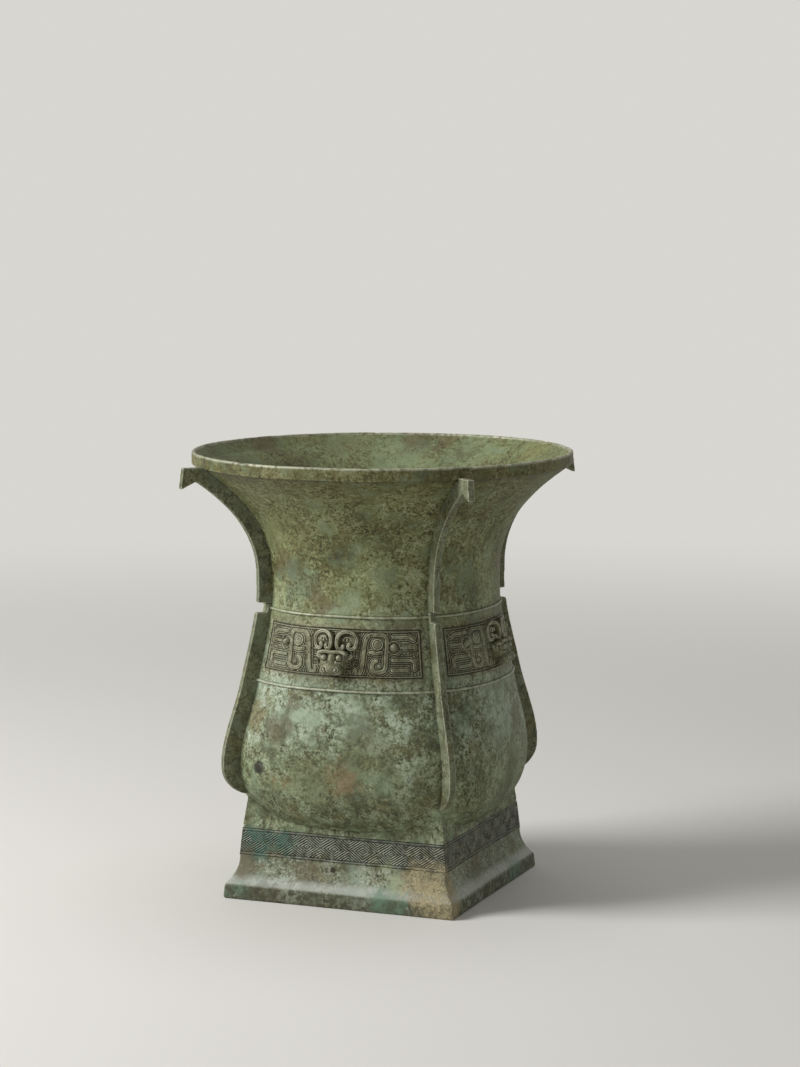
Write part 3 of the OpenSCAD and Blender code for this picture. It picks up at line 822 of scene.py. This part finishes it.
def waist():
    """Band between two strings, tinted like its panels close to them."""
    edge = FIELD_EDGE / WAIST_R
    margin = np.linspace(-math.pi / 4, -PANEL_TURN, 8)
    face = np.concatenate([margin, np.linspace(-PANEL_TURN + edge, PANEL_TURN - edge, 84), -margin[:0:-1]])
    from_middle = np.abs(np.tile(face, len(FACE_TURNS)))
    a = np.concatenate([face + turn for turn in FACE_TURNS.values()])
    z = np.concatenate([
        rows_between(WAIST_Z, WAIST_Z + 2 * STRING_INSET, 0.16),
        rows_between(WAIST_Z + STRING_CLEAR, PANEL_FOOT_Z, 0.8),
        rows_between(PANEL_FOOT_Z + FIELD_EDGE, PANEL_TOP_Z - FIELD_EDGE, 1.2),
        rows_between(PANEL_TOP_Z, NECK_Z - STRING_CLEAR, 0.8),
        rows_between(NECK_Z - 2 * STRING_INSET, NECK_Z, 0.16),
    ])
    strings = (WAIST_Z + STRING_INSET, NECK_Z - STRING_INSET)
    rounding = sum(np.sqrt(np.clip(1 - ((z - string) / STRING_HALF_W) ** 2, 0, 1)) for string in strings)
    raised = STRING_RISE * rounding
    in_field = (
        (from_middle < PANEL_TURN - edge / 2)
        & (z > PANEL_FOOT_Z + FIELD_EDGE / 2) & (z < PANEL_TOP_Z - FIELD_EDGE / 2))
    above = np.clip(np.maximum(PANEL_FOOT_Z - z, z - PANEL_TOP_Z), 0, None)
    beside = np.clip(from_middle - PANEL_TURN, 0, None) * WAIST_R
    wall_piece(
        "waist", "waist_band", outer_skin(z, a, raised),
        inner_skin(rows_between(WAIST_Z, NECK_Z, 1.9)[::-1], a),
        STRING_WEAR * rounding ** 3, outer_skin(z, a, raised - FIELD_SINK * in_field),
        PANEL_TINT * bell(np.hypot(above, beside), PANEL_TINT_W), "ornament_bronze")


# Ornament in low relief: places are [distance from the panel's middle, height above the panel's foot]

LINE_PITCH = 1.15
SPIRAL_CELL = 4 * LINE_PITCH
OUTLINE_W = 1.5 * LINE_PITCH
BORDER_RISE = 0.15
GROUND_DEPTH = 0.5
GROUND_DIRT, GROUND_DIRT_H = 0.3, 0.3
GROUND_STEEPNESS = 1.5
MOTIF_RISE = 0.5
MOTIF_EDGE_W = 0.4
DRAGON_TRUNK = (
    (10.6, 4.2), (11.2, 2.6), (12.8, 2.4), (13.9, 4.8), (14.6, 10), (15.2, 16), (16.0, 19.6), (17.6, 21.4),
    (20.0, 21.9), (24.2, 21.9), (26.2, 20.9), (26.7, 18.4), (26.3, 12), (26.0, 6.4), (25.2, 4.4), (23.4, 3.5),
    (21.2, 3.5), (19.6, 4.6), (19.2, 6.6), (19.9, 8.4), (21.4, 9.0))

# Bars of the dragon, path and half-width: trunk, tongue and four tails
DRAGON_BARS = (
    (curve_through(DRAGON_TRUNK), 1.0), (((18.2, 13.2), (21.4, 12.7), (24.0, 13.2)), 0.9),
    (((30.2, 20.8), (38.0, 20.8), (40.0, 19.6)), 0.8), (((34.6, 15.6), (40.4, 15.6)), 0.8),
    (((29.4, 9.4), (38.4, 9.4), (40.2, 8.2), (40.0, 5.4)), 0.8), (((29.2, 4.4), (36.4, 4.4)), 0.8),
)

# Rounds of the dragon, middle and radius
DISC = (21.9, 17.2, 2.9)
DISC_SCORE_DEPTH, DISC_SCORE_INSET, DISC_SCORE_W = 0.3, 0.9, 0.25
SPIRAL_EYE = (22.7, 6.3, 1.0)
BOSS = (30.2, 15.6, 2.0)
BOSS_RISE = 1.9
BOSS_RING_R, BOSS_RING_HALF_W = 3.2, 0.3


def waves(distance, pitch):
    """Ridges a pitch apart, the first at no distance."""
    return np.cos(2 * math.pi * distance / pitch)


def bar_distance(u, v, path):
    """Distance from a line of points."""
    nearest = np.full(np.broadcast(u, v).shape, np.inf)
    for (ua, va), (ub, vb) in zip(path, path[1:]):
        du, dv = ub - ua, vb - va
        t = np.clip(((u - ua) * du + (v - va) * dv) / (du * du + dv * dv), 0, 1)
        nearest = np.minimum(nearest, np.hypot(u - ua - t * du, v - va - t * dv))
    return nearest


def squared_spirals(u, v):
    """Lines of small squared spirals that turn one way and the other in turn."""
    cell_u = (u / SPIRAL_CELL) % 1 - 0.5
    cell_v = (v / SPIRAL_CELL) % 1 - 0.5
    parity = 1 - 2 * ((np.floor(u / SPIRAL_CELL) + np.floor(v / SPIRAL_CELL)) % 2)
    reach = np.maximum(np.abs(cell_u), np.abs(cell_v)) * SPIRAL_CELL
    turn = np.arctan2(cell_v, cell_u) * parity / (2 * math.pi)
    return waves(reach / LINE_PITCH + turn, 1)


def panel_relief(u, v, half_w, height):
    """Height of the ornament over the wall: facing dragons on a ground of fine lines."""
    side = np.abs(u)
    from_boss = np.hypot(side - BOSS[0], v - BOSS[1])
    bars = [bar_distance(side, v, path) - half_w for path, half_w in DRAGON_BARS]
    bars += [np.hypot(side - x, v - y) - r for x, y, r in (DISC, SPIRAL_EYE)]
    bars.append(np.abs(from_boss - BOSS_RING_R) - BOSS_RING_HALF_W)
    off = np.min(bars, axis=0)
    motif = smooth_step(0.5 - off / MOTIF_EDGE_W)
    in_disc = DISC[2] - np.hypot(side - DISC[0], v - DISC[1])
    scored = DISC_SCORE_DEPTH * bell(in_disc - DISC_SCORE_INSET, DISC_SCORE_W)

    lines = np.where(off < OUTLINE_W, -waves(np.clip(off, 0, None), LINE_PITCH), squared_spirals(side, v))
    from_edge = np.minimum(np.minimum(half_w - side, v), height - v)
    in_border = from_edge < OUTLINE_W
    lines = np.where(in_border, waves(from_edge, LINE_PITCH), lines)
    ground = GROUND_DEPTH * (np.clip(GROUND_STEEPNESS * lines, -1, 1) - 1) / 2

    raised = np.where(in_border, 0, motif)
    level = ground * (1 - raised) + raised * (MOTIF_RISE - scored)
    boss = BOSS_RISE * np.sqrt(np.clip(1 - (from_boss / BOSS[2]) ** 2, 0, 1))
    border = BORDER_RISE * in_border * np.clip(lines, 0, 1)
    return np.maximum(level + border, np.where(boss > 0, boss, -1))


def slabs(name, slot, relief, back, wear, darkening=0.0):
    """A closed slab on each face from the front one's grid of points, its rim turned back into the wall."""
    points = np.concatenate([back[:1], relief, back[-1:]])
    for face, turn in FACE_TURNS.items():
        rotation = np.array(Matrix.Rotation(turn, 3, "Z"))
        mesh = sheet_mesh(points @ rotation.T, close_columns=False)
        bend = bend_of(mesh).reshape(points.shape[:2])
        bend = np.where(bend < 0, wear * bend, bend)
        bend[1:-1] += darkening
        bend[:, :2], bend[:, -2:] = bend[:, 2:3], bend[:, -3:-2]
        bend[:2], bend[-2:] = bend[2], bend[-3]
        add_piece(name + face, mesh, slot, second=1.0, sharp_angle=70, bend=bend.ravel())


def ornament_panels():
    """The four relief panels of the waist band, wrapped on its faces."""
    a = np.linspace(-PANEL_TURN, PANEL_TURN, 360)
    z = np.linspace(PANEL_FOOT_Z, PANEL_TOP_Z, 104)[:, None]
    middle = on_ring(outside_r((PANEL_FOOT_Z + PANEL_TOP_Z) / 2, a), a, 0.0)
    along = np.concatenate([[0], np.cumsum(np.linalg.norm(np.diff(middle, axis=0), axis=1))])
    half_w = along[-1] / 2
    rise = panel_relief(along - half_w, z - PANEL_FOOT_Z, half_w, PANEL_TOP_Z - PANEL_FOOT_Z)
    darkening = GROUND_DIRT * smooth_step((MOTIF_RISE / 2 - rise) / GROUND_DIRT_H)
    wall = outer_skin(z, a)
    out = np.cross(np.gradient(wall, axis=1), np.gradient(wall, axis=0))
    out /= np.linalg.norm(out, axis=-1, keepdims=True)
    relief = wall + out * rise[..., None]
    slabs("ornament_panel_", "ornament_bronze", relief, wall - out * PANEL_DEPTH, PANEL_WEAR, darkening)


# Foot: an upright base edge, a cove and a leaning side with a sunk field for its band of lozenges

BASE_EDGE_LEAN = 0.7
COVE_TOP_Z = 21.9
COVE_TOP_HALF = 56.7
SHELF_T = 4.0
SHELF_W = 4.6
FOOT_EDGE_R = 0.9
FOOT_INNER_EDGE_R = 2.0
ARRIS_CUT, ARRIS_W = 0.25, 0.45
BAND_FOOT_Z = 22.1
BAND_TOP_Z = 36.3
BAND_LINE_DEPTH = 0.5
BAND_STEEPNESS, BAND_LEVEL = 1.6, 0.7
BAND_WEAR = 0.9
LOZENGE_HALF_W = 7.75
LOZENGE_HALF_H = 5.2
LOZENGE_SHIFT = 3.7
LOZENGE_LINES = 4
BORDER_PITCH = 1.5
BORDER_W = 1.35 * BORDER_PITCH
BORDER_INSET = 0.25
BAND_END_FADE = 0.5
HAND_SWAY, HAND_SWAY_SIZE = 0.35, 5
HAND_LIFT, HAND_LIFT_SIZE = 0.16, 6

# Worn lower edge of the foot: height and how far it is cut back
FOOT_WORN_EDGE = ((0.0, 1.3), (0.12, 0.8), (0.45, 0.35), (1.0, 0.08))


def foot_half(z):
    """Half-width of the foot's outside."""
    edge = BASE_HALF - BASE_EDGE_LEAN * z / BASE_EDGE_Z
    rise = COVE_TOP_Z - BASE_EDGE_Z
    run = BASE_HALF - BASE_EDGE_LEAN - COVE_TOP_HALF
    cove_r = (rise ** 2 + run ** 2) / (2 * run)
    cove = COVE_TOP_HALF + cove_r - np.sqrt(np.clip(cove_r ** 2 - (z - COVE_TOP_Z) ** 2, 0, None))
    side = COVE_TOP_HALF + (FOOT_TOP_HALF - COVE_TOP_HALF) * (z - COVE_TOP_Z) / (BELLY_Z - COVE_TOP_Z)
    return np.where(z < BASE_EDGE_Z, edge, np.where(z < COVE_TOP_Z, cove, side))


def square_ring(half, z, edge_r, steps=44):
    """A level square with rounded corners, from the front face's middle counter-clockwise."""
    straight = np.linspace(0, 1, steps) * (half - edge_r)
    turn = np.linspace(0, math.pi / 2, 6)[1:-1]
    x = np.concatenate([straight, half - edge_r + edge_r * np.sin(turn), np.full(steps - 1, half)])
    y = -np.concatenate([np.full(steps, half), half - edge_r + edge_r * np.cos(turn), straight[:0:-1]])
    sides = [(x, y), (-y, x), (-x, -y), (y, -x)]
    return np.concatenate([np.stack([p, q, np.full(len(p), z)], 1) for p, q in sides])


def round_ring(like, radius, z):
    """A level circle with a point for each point of another ring."""
    flat = like[:, :2]
    spread = radius * flat / np.linalg.norm(flat, axis=1, keepdims=True)
    return np.column_stack([spread, np.full(len(flat), z)])


def foot():
    """Hollow foot with worn edges and a shelf under the belly."""
    edge_z, edge_cut = np.array(FOOT_WORN_EDGE).T
    levels = np.concatenate([
        rows_between(1.8, BASE_EDGE_Z - 0.8, 0.9), rows_between(BASE_EDGE_Z - 0.5, BASE_EDGE_Z + 0.5, 0.25),
        rows_between(BASE_EDGE_Z + 1, COVE_TOP_Z - 0.6, 0.7), [[BAND_FOOT_Z], [BAND_FOOT_Z + FIELD_EDGE]],
        rows_between(BAND_FOOT_Z + 2, BAND_TOP_Z - 2, 2.5),
        [[BAND_TOP_Z - FIELD_EDGE], [BAND_TOP_Z]], [[BELLY_Z - 0.8], [BELLY_Z]],
    ]).ravel()
    heights = np.concatenate([edge_z, levels])
    worn = np.concatenate([edge_cut, ARRIS_CUT * bell(levels - BASE_EDGE_Z, ARRIS_W)])
    in_field = (heights > BAND_FOOT_Z + FIELD_EDGE / 2) & (heights < BAND_TOP_Z - FIELD_EDGE / 2)

    def rings(cuts):
        return np.array([square_ring(foot_half(z) - cut, z, FOOT_EDGE_R) for z, cut in zip(heights, cuts)])

    plain = rings(worn)
    shelf_z = BELLY_Z - SHELF_T
    inner = [round_ring(plain[-1], FLOOR_R - SHELF_W, z) for z in (BELLY_Z, shelf_z)]
    for z in rows_between(0, shelf_z, 2.2)[::-1, 0]:
        inner.append(square_ring(foot_half(z) - WALL, z, FOOT_INNER_EDGE_R))
    wall_piece("foot", "square_foot", plain, np.array(inner), sunk=rings(worn + FIELD_SINK * in_field))


def lozenge_relief(x, v, half_w, height):
    """Height of nested lozenges cut into the foot between border lines, unsteady as by hand."""
    spots = np.stack(np.broadcast_arrays(x, v, 0.0), -1)
    x = x + HAND_SWAY * noise(spots, HAND_SWAY_SIZE, 11)
    v = v + HAND_LIFT * noise(spots, HAND_LIFT_SIZE, 12)
    cell = ((x + LOZENGE_SHIFT) / LOZENGE_HALF_W + 1) % 2 - 1
    nested = np.abs(cell) + np.abs(v - height / 2) / LOZENGE_HALF_H
    from_edge = np.minimum(v, height - v)
    border = waves(from_edge - BORDER_INSET, BORDER_PITCH)
    lines = -np.where(from_edge < BORDER_W, border, waves(LOZENGE_LINES * nested, 1))
    fade = smooth_step((half_w - np.abs(x)) / BAND_END_FADE)
    return BAND_LINE_DEPTH * (np.clip(BAND_STEEPNESS * lines + BAND_LEVEL, -1, 1) - 1) / 2 * fade


def lozenge_bands():
    """The four cut bands of the foot, which meet at its corners."""
    z = np.linspace(BAND_FOOT_Z, BAND_TOP_Z, 62)[:, None]
    across = np.linspace(-1, 1, 440)
    half = foot_half(z)
    x = across * half
    rise = lozenge_relief(x, z - BAND_FOOT_Z, half, BAND_TOP_Z - BAND_FOOT_Z)
    face = np.stack([x, -(half + rise), z + 0 * x], -1)
    back_half = half - PANEL_DEPTH
    back = np.stack([across * back_half, -back_half + 0 * x, z + 0 * x], -1)
    slabs("lozenge_band_", "patinated_bronze", face, back, BAND_WEAR)


FLOOR_DISH = 0.4


def floor_plate():
    """Floor of the belly, slightly dished."""
    steps = np.linspace(0.02, 1, 40)[:, None]
    under = on_ring(FLOOR_R * steps, AROUND[::4], BELLY_Z)
    top = on_ring(FLOOR_R * steps, AROUND[::4], FLOOR_TOP_Z - FLOOR_DISH * (1 - steps ** 2))
    points = np.concatenate([under, top[::-1]])
    mesh = sheet_mesh(points, close_rows=False)
    add_piece("floor_plate", mesh, "inner_bronze", ["belly_floor"], inside=1.0)


# Sculpted pieces: closed shapes melted together on a fine lattice of cubes

SCULPTED_WEAR = 0.6
FLANGE_CUBE, FLANGE_ROUNDS = 0.42, 7
MASK_CUBE, MASK_ROUNDS = 0.22, 3


def melted(mesh, cube, rounds):
    """A copy of a mesh of overlapping shapes as one smooth skin."""
    piece = new_object("melting", mesh)
    remesh = piece.modifiers.new("melt", "REMESH")
    remesh.mode = "VOXEL"
    remesh.voxel_size = cube * MM
    smooth = piece.modifiers.new("smooth", "SMOOTH")
    smooth.iterations = rounds
    ready = piece.evaluated_get(bpy.context.evaluated_depsgraph_get())
    skin = bpy.data.meshes.new_from_object(ready)
    bpy.data.objects.remove(piece)
    return skin


def copy_turned(mesh, turn):
    """A copy of a mesh turned about the vessel's axis and weathered where it then lies."""
    turned = mesh.copy()
    turned.transform(Matrix.Rotation(turn, 4, "Z"))
    set_points(turned, weathered(points_of(turned), SCULPTED_WEAR))
    return turned


# Flanges stand on the corners' diagonals

FLANGE_SEAT = 1.2
NECK_FLANGE_W = 7.4
WAIST_FLANGE_W = 7.6
BELLY_FLANGE_W = 9.3
FLANGE_ROUND_H = 13.0
SLOT_RIB_W = 1.8
FLANGE_SLOT_H = 4.6
TAB_SEAT = 0.5
TAB_REACH = 12.4
TAB_H = 11.0
HOOK_W = 5.5
HOOK_LEAN = 1.4


def plate(outline):
    """A flat plate on the front left corner's diagonal, from its outline of [radius, height]."""
    turn = CORNER_TURNS["front_left"]
    line = on_ring(outline[:, 0], turn, outline[:, 1])
    half = np.array([math.cos(turn), math.sin(turn), 0]) * FLANGE_T / 2
    return stacked_mesh([np.stack([line - half, line + half])])


def upper_flange_outline():
    z = np.linspace(SLOT_TOP_Z, LIP_Z, 60)
    wall = profile(CORNERS, z)
    slope = slope_of(CORNERS, z)
    length = np.sqrt(1 + slope ** 2)
    edge = np.column_stack([wall + NECK_FLANGE_W / length, z - NECK_FLANGE_W * slope / length])
    tab_r = MOUTH_R + TAB_REACH
    seat_r = MOUTH_R - TAB_SEAT
    tab = [(seat_r, LIP_Z), (seat_r, TAB_TOP_Z), (tab_r - HOOK_LEAN, TAB_TOP_Z), (tab_r, TAB_TOP_Z - TAB_H)]
    seat = np.column_stack([wall - FLANGE_SEAT, z])
    return np.concatenate([seat, tab, edge[edge[:, 0] < tab_r - HOOK_W][::-1]])


def lower_flange_outline():
    top_z = SLOT_TOP_Z - FLANGE_SLOT_H
    round_z = FLANGE_FOOT_Z + FLANGE_ROUND_H
    z = np.concatenate([
        FLANGE_FOOT_Z + FLANGE_ROUND_H * (1 - np.cos(np.linspace(0, math.pi / 2, 16)[:-1])),
        np.linspace(round_z, top_z, 60)])
    wall = profile(CORNERS, z)
    t = np.clip((z - WIDEST_Z) / (top_z - WIDEST_Z), 0, 1)
    width = BELLY_FLANGE_W + (WAIST_FLANGE_W - BELLY_FLANGE_W) * t
    rounding = np.sqrt(1 - np.clip((round_z - z) / FLANGE_ROUND_H, 0, 1) ** 2)
    edge = np.column_stack([wall + width * rounding, z])
    seat = np.column_stack([wall - FLANGE_SEAT, z])
    rib_r = wall[-1] + SLOT_RIB_W
    rib = [(wall[-1] - FLANGE_SEAT, SLOT_TOP_Z), (rib_r, SLOT_TOP_Z), (rib_r, top_z)]
    return np.concatenate([seat, rib, edge[::-1]])


def flanges():
    """The eight corner flanges, cut through at the upper string, with edges worn round."""
    for kind, node, outline in (("neck_flange_", "upper_flange_", upper_flange_outline()),
                                ("belly_flange_", "lower_flange_", lower_flange_outline())):
        worn = melted(plate(outline), FLANGE_CUBE, FLANGE_ROUNDS)
        for corner, turn in CORNER_TURNS.items():
            mesh = copy_turned(worn, turn - CORNER_TURNS["front_left"])
            add_piece(kind + corner, mesh, "flange_bronze", [node + corner])


# Ox mask: shapes are placed as [right, out of the wall, up the wall] from the head's middle

MASK_Z = 128.0
MASK_LEAN = math.atan((FACES[1][1] - FACES[2][1]) / (NECK_Z - WAIST_Z))
HORN_LINE = (
    (4.6, 7.6), (4.3, 6.3), (2.9, 5.9), (1.9, 7.0), (1.6, 9.6), (2.2, 12.4), (4.2, 14.2), (6.8, 14.6),
    (9.4, 13.8), (11.0, 11.6), (11.1, 8.8), (10.0, 6.6), (8.2, 6.1), (7.2, 7.1), (7.6, 8.5))
HORN_HOOK_LINE = ((4.5, 10.2), (5.2, 11.6), (6.4, 11.9), (7.8, 11.5), (8.4, 10.2))
HORN_PEG_LINE = ((6.3, 11.8), (6.2, 9.8))
HORN_MIDDLE = 6.3
HORN_LEAN = 0.34
BROW_LINE = ((-7.0, 3.6), (-5.6, 4.2), (-2.8, 4.4), (0, 4.1), (2.8, 4.4), (5.6, 4.2), (7.0, 3.6))
EYE = (4.0, 1.4)
EYE_R = 1.45
NOSTRIL = (3.2, -4.4)
MASK_CUT_W = 0.3

# Eggs of the head, centre and radii: skull, cheeks, muzzle and bridge of the nose
HEAD_EGGS = (
    ((0, 0.4, 1.2), (8.0, 5.0, 4.2)), ((0, 1.6, -1.8), (6.9, 5.2, 4.8)),
    ((0, 3.2, -4.0), (6.0, 5.0, 3.4)), ((0, 4.0, -0.6), (2.7, 3.0, 4.8)),
)

# Eggs on either side, with their tilt: eye, its rim, side of the muzzle, nostril, ground of the horn and ear
SIDE_EGGS = (
    ((EYE[0], 5.4, EYE[1]), (EYE_R, EYE_R, EYE_R), 0), ((EYE[0], 4.4, EYE[1]), (2.4, 1.2, 2.0), 0),
    ((3.3, 3.8, -4.5), (3.0, 3.9, 2.8), 0), ((NOSTRIL[0], 6.6, NOSTRIL[1]), (1.8, 1.6, 1.6), 0),
    ((HORN_MIDDLE, -0.3, 10.4), (4.5, 1.1, 3.9), 0), ((8.0, 1.3, 2.0), (2.1, 1.0, 1.15), 0.45),
)

# Bars: line, distance from the wall, half-width, half-height and taper
BROW = (BROW_LINE, 4.1, 1.0, 2.2)
HORN_BARS = (
    (HORN_LINE, 0.7, 0.98, 1.9, 1.1), (HORN_HOOK_LINE, 0.3, 0.5, 1.3, 1.0),
    (HORN_PEG_LINE, 0.3, 0.5, 1.3, 1.0),
)
BAR_FLATNESS = 0.7

# Angle of an egg's end rings, just short of its poles
EGG_END = 1.55


def egg(centre, radii, tilt=0.0):
    """Rings of an egg shape, tilted about the way out of the wall."""
    rise = np.linspace(-EGG_END, EGG_END, 22)[:, None]
    turn = full_turn(36)
    across = np.cos(rise) * np.cos(turn) * radii[0]
    out = np.cos(rise) * np.sin(turn) * radii[1]
    up = np.sin(rise) * radii[2] + 0 * turn
    right = across * math.cos(tilt) - up * math.sin(tilt)
    up = across * math.sin(tilt) + up * math.cos(tilt)
    return np.stack([right + centre[0], -(out + centre[1]), up + centre[2]], -1)


def flattened(value):
    return np.sign(value) * np.abs(value) ** BAR_FLATNESS


def bar(line, out, half_w, half_h, taper=1.0, lean=0.0):
    """Rings of a bar along a line of [right, up], with its top flattened a little, and of its round ends."""
    path = curve_through(line)
    out = out + lean * (HORN_MIDDLE - np.abs(path[:, :1]))
    way = np.gradient(path, axis=0)
    way /= np.linalg.norm(way, axis=1, keepdims=True)
    turn = full_turn(20)
    share = np.linspace(1, taper, len(path))[:, None]
    across = flattened(np.cos(turn)) * half_w * share
    above = flattened(np.sin(turn)) * half_h * share
    right = path[:, :1] + way[:, 1:] * across
    up = path[:, 1:] - way[:, :1] * across
    stacks = [np.stack([right, -(out + above), up], -1)]
    for i, size in ((0, 1.0), (-1, taper)):
        stacks.append(egg((path[i, 0], out[i, 0], path[i, 1]), np.array([half_w, half_h, half_w]) * size))
    return stacks


def arc(centre, radius, start, end):
    """Points on part of a circle, in degrees."""
    turns = np.radians(np.linspace(start, end, 24))
    return np.stack([centre[0] + radius * np.cos(turns), centre[1] + radius * np.sin(turns)], 1)


def head():
    """The mask's shapes: skull, brow, eyes, broad muzzle, ears and coiled horns."""
    shapes = [egg(centre, radii) for centre, radii in HEAD_EGGS] + bar(*BROW)
    for side in (-1, 1):
        for (right, out, up), radii, tilt in SIDE_EGGS:
            shapes.append(egg((side * right, out, up), radii, side * tilt))
        for line, *sizes in HORN_BARS:
            shapes += bar([(side * right, up) for right, up in line], *sizes, HORN_LEAN)
    return stacked_mesh(shapes)


def carve(points):
    """Fine cut lines on the mask, pressed towards the wall."""
    right, up = np.abs(points[:, 0]), points[:, 2]
    cuts = (
        (arc(EYE, EYE_R + 0.4, 0, 360), 0.5), (arc(NOSTRIL, 0.9, -80, 190), 0.6),
        (((0, -6.5), (3.0, -6.4), (5.0, -5.2)), 0.45), (((2.3, 2.6), (2.1, -1.4)), 0.35),
        (((7.4, 1.7), (9.2, 2.5)), 0.25), (curve_through(HORN_LINE), 0.22))
    carved = points.copy()
    carved[:, 1] += sum(depth * bell(bar_distance(right, up, path), MASK_CUT_W) for path, depth in cuts)
    return carved


def masks():
    """The four ox masks in high relief."""
    skin = melted(head(), MASK_CUBE, MASK_ROUNDS)
    set_points(skin, carve(points_of(skin)))
    lean = Matrix.Rotation(-MASK_LEAN, 4, "X")
    skin.transform(Matrix.Translation((0, -profile(FACES, MASK_Z) * MM, MASK_Z * MM)) @ lean)
    for face, turn in FACE_TURNS.items():
        add_piece("ox_mask_" + face, copy_turned(skin, turn), "mask_bronze", ["animal_mask_" + face])


# Spacers that held the core, cast into the belly and the floor

SPACER_W = 5.6
SPACER_ROUNDING = 0.42
SPACER_TURN = math.radians(12.5)
SPACER_PROUD = 0.06
FLOOR_SPACER_X = 20.0
FLOOR_SPACER_PROUD = 0.02
RIM_START, RIM_W = 0.75, 0.3

# Shares of patina over a spacer: the bare one's rim, the others, the floor's and what their rims add
BARE_RIM_PATINA = 0.3
WALL_PATINA = 0.8
FLOOR_PATINA, FLOOR_RIM_PATINA = 0.3, 0.6


def plugs(name, node, places):
    """Plugs, each from a front and a back grid of points and the share of patina over both."""
    points = []
    quads = []
    covered = []
    for front, back, share in places:
        index = np.arange(share.size).reshape(share.shape)
        rim = np.concatenate([index[0, :-1], index[:-1, -1], index[-1, :0:-1], index[:0:-1, 0]])
        after = np.roll(rim, -1)
        sheet = grid(*share.shape, close_rows=False, close_columns=False)[0]
        start = sum(len(part) for part in points)
        back_start = start + share.size
        sides = np.stack([after + start, rim + start, rim + back_start, after + back_start], 1)
        quads += [sheet + start, sheet[:, ::-1] + back_start, sides]
        points += [front.reshape(-1, 3), back.reshape(-1, 3)]
        covered += [share.ravel()] * 2
    mesh = new_mesh(weathered(np.concatenate(points)), np.concatenate(quads), [])
    add_piece(name, mesh, "spacer_bronze", [node], np.concatenate(covered), bend=0.0)


def spacers():
    """Plugs with rounded corners; the one that shows in the front face's left half is bare."""
    half = SPACER_W / 2
    s, t = np.meshgrid(np.linspace(-1, 1, 13), np.linspace(-1, 1, 13))
    across = half * s * np.sqrt(1 - SPACER_ROUNDING * t * t)
    up = half * t * np.sqrt(1 - SPACER_ROUNDING * s * s)
    rim = smooth_step((np.hypot(across, up) / half - RIM_START) / RIM_W)
    z = WIDEST_Z + up
    places = []
    for corner, side in product(CORNER_TURNS, (-1, 1)):
        middle = CORNER_TURNS[corner] + side * SPACER_TURN
        angle = middle + across / outside_r(WIDEST_Z, middle)
        bare = corner == "front_left" and side == 1
        share = BARE_RIM_PATINA * rim if bare else np.full(s.shape, WALL_PATINA)
        places.append((outer_skin(z, angle, SPACER_PROUD), inner_skin(z, angle, SPACER_PROUD), share))
    plugs("wall_plugs", "wall_spacers", places)
    places = []
    for x, y in product((-FLOOR_SPACER_X, FLOOR_SPACER_X), repeat=2):
        top = np.stack(np.broadcast_arrays(x + across, y + up, FLOOR_TOP_Z + FLOOR_SPACER_PROUD), -1)
        places.append((top, top * (1, 1, 0) + (0, 0, BELLY_Z), FLOOR_PATINA + FLOOR_RIM_PATINA * rim))
    plugs("floor_plugs", "floor_spacers", places)


# Stage, light and camera, in metres and degrees

PALE = srgb(216, 214, 209)
STAGE_HALF = 6.0
STAGE_FADE = (0.35, 1.5)
WORLD_LIGHT = 0.26
AIM = (0, 0, 0.12)
LENS = 100
CAMERA_PLACE = (0.5723, -1.4164, 0.3765)
CAMERA_DOWN = 7.15
CAMERA_TURN = 21.66

# Lamps: place, size and power
LAMPS = {
    "key": ((-1.15, -0.8, 1.05), 0.7, 31),
    "fill": ((1.3, -1.2, 0.8), 1.3, 3),
    "top": ((0.0, 0.3, 1.8), 1.0, 6),
}


def floor():
    """Plain pale floor, far larger than the view, that runs into the pale surroundings."""
    mesh = bpy.data.meshes.new("floor")
    corners = [(x * STAGE_HALF, y * STAGE_HALF, 0) for x, y in ((-1, -1), (1, -1), (1, 1), (-1, 1))]
    mesh.from_pydata(corners, [], [(0, 1, 2, 3)])
    paint = Paint(bpy.data.materials.new("pale_floor"))
    paint.fill(paint.shader, {"Base Color": PALE, "Roughness": 0.8})
    far = paint.times(paint.spread(paint.vector("LENGTH", paint.place), *STAGE_FADE), paint.seen())
    glow = paint.node("ShaderNodeEmission", {"Color": PALE, "Strength": 1.0}).outputs[0]
    both = paint.node("ShaderNodeMixShader", {0: far, 1: paint.shader.outputs[0], 2: glow}).outputs[0]
    paint.fill(paint.tree.nodes["Material Output"], {"Surface": both})
    mesh.materials.append(paint.owner)
    stage = new_object("floor", mesh)


def soft_light(name, place, size, power):
    """A square lamp that faces the vessel's middle."""
    lamp = bpy.data.lights.new(name, "AREA")
    lamp.size = size
    lamp.energy = power
    item = new_object(name, lamp)
    item.location = place
    item.rotation_euler = (Vector(AIM) - Vector(place)).to_track_quat("-Z", "Y").to_euler()


def world():
    """Even pale surroundings, dimmer as a light than as a background."""
    paint = Paint(bpy.data.worlds.new("surroundings"))
    strength = paint.spread(paint.seen(), 0, 1, WORLD_LIGHT, 1)
    paint.fill(paint.tree.nodes["Background"], {"Color": PALE, "Strength": strength})
    bpy.context.scene.world = paint.owner


def camera():
    lens = bpy.data.cameras.new("camera")
    lens.lens = LENS
    item = new_object("camera", lens)
    item.location = CAMERA_PLACE
    item.rotation_euler = (math.radians(90 - CAMERA_DOWN), 0, math.radians(CAMERA_TURN))
    bpy.context.scene.camera = item


lip()
neck()
waist()
ornament_panels()
belly()
floor_plate()
foot()
lozenge_bands()
flanges()
masks()
spacers()
floor()
for name, lamp in LAMPS.items():
    soft_light(name, *lamp)
world()
camera()
bpy.context.scene.view_settings.view_transform = "Standard"
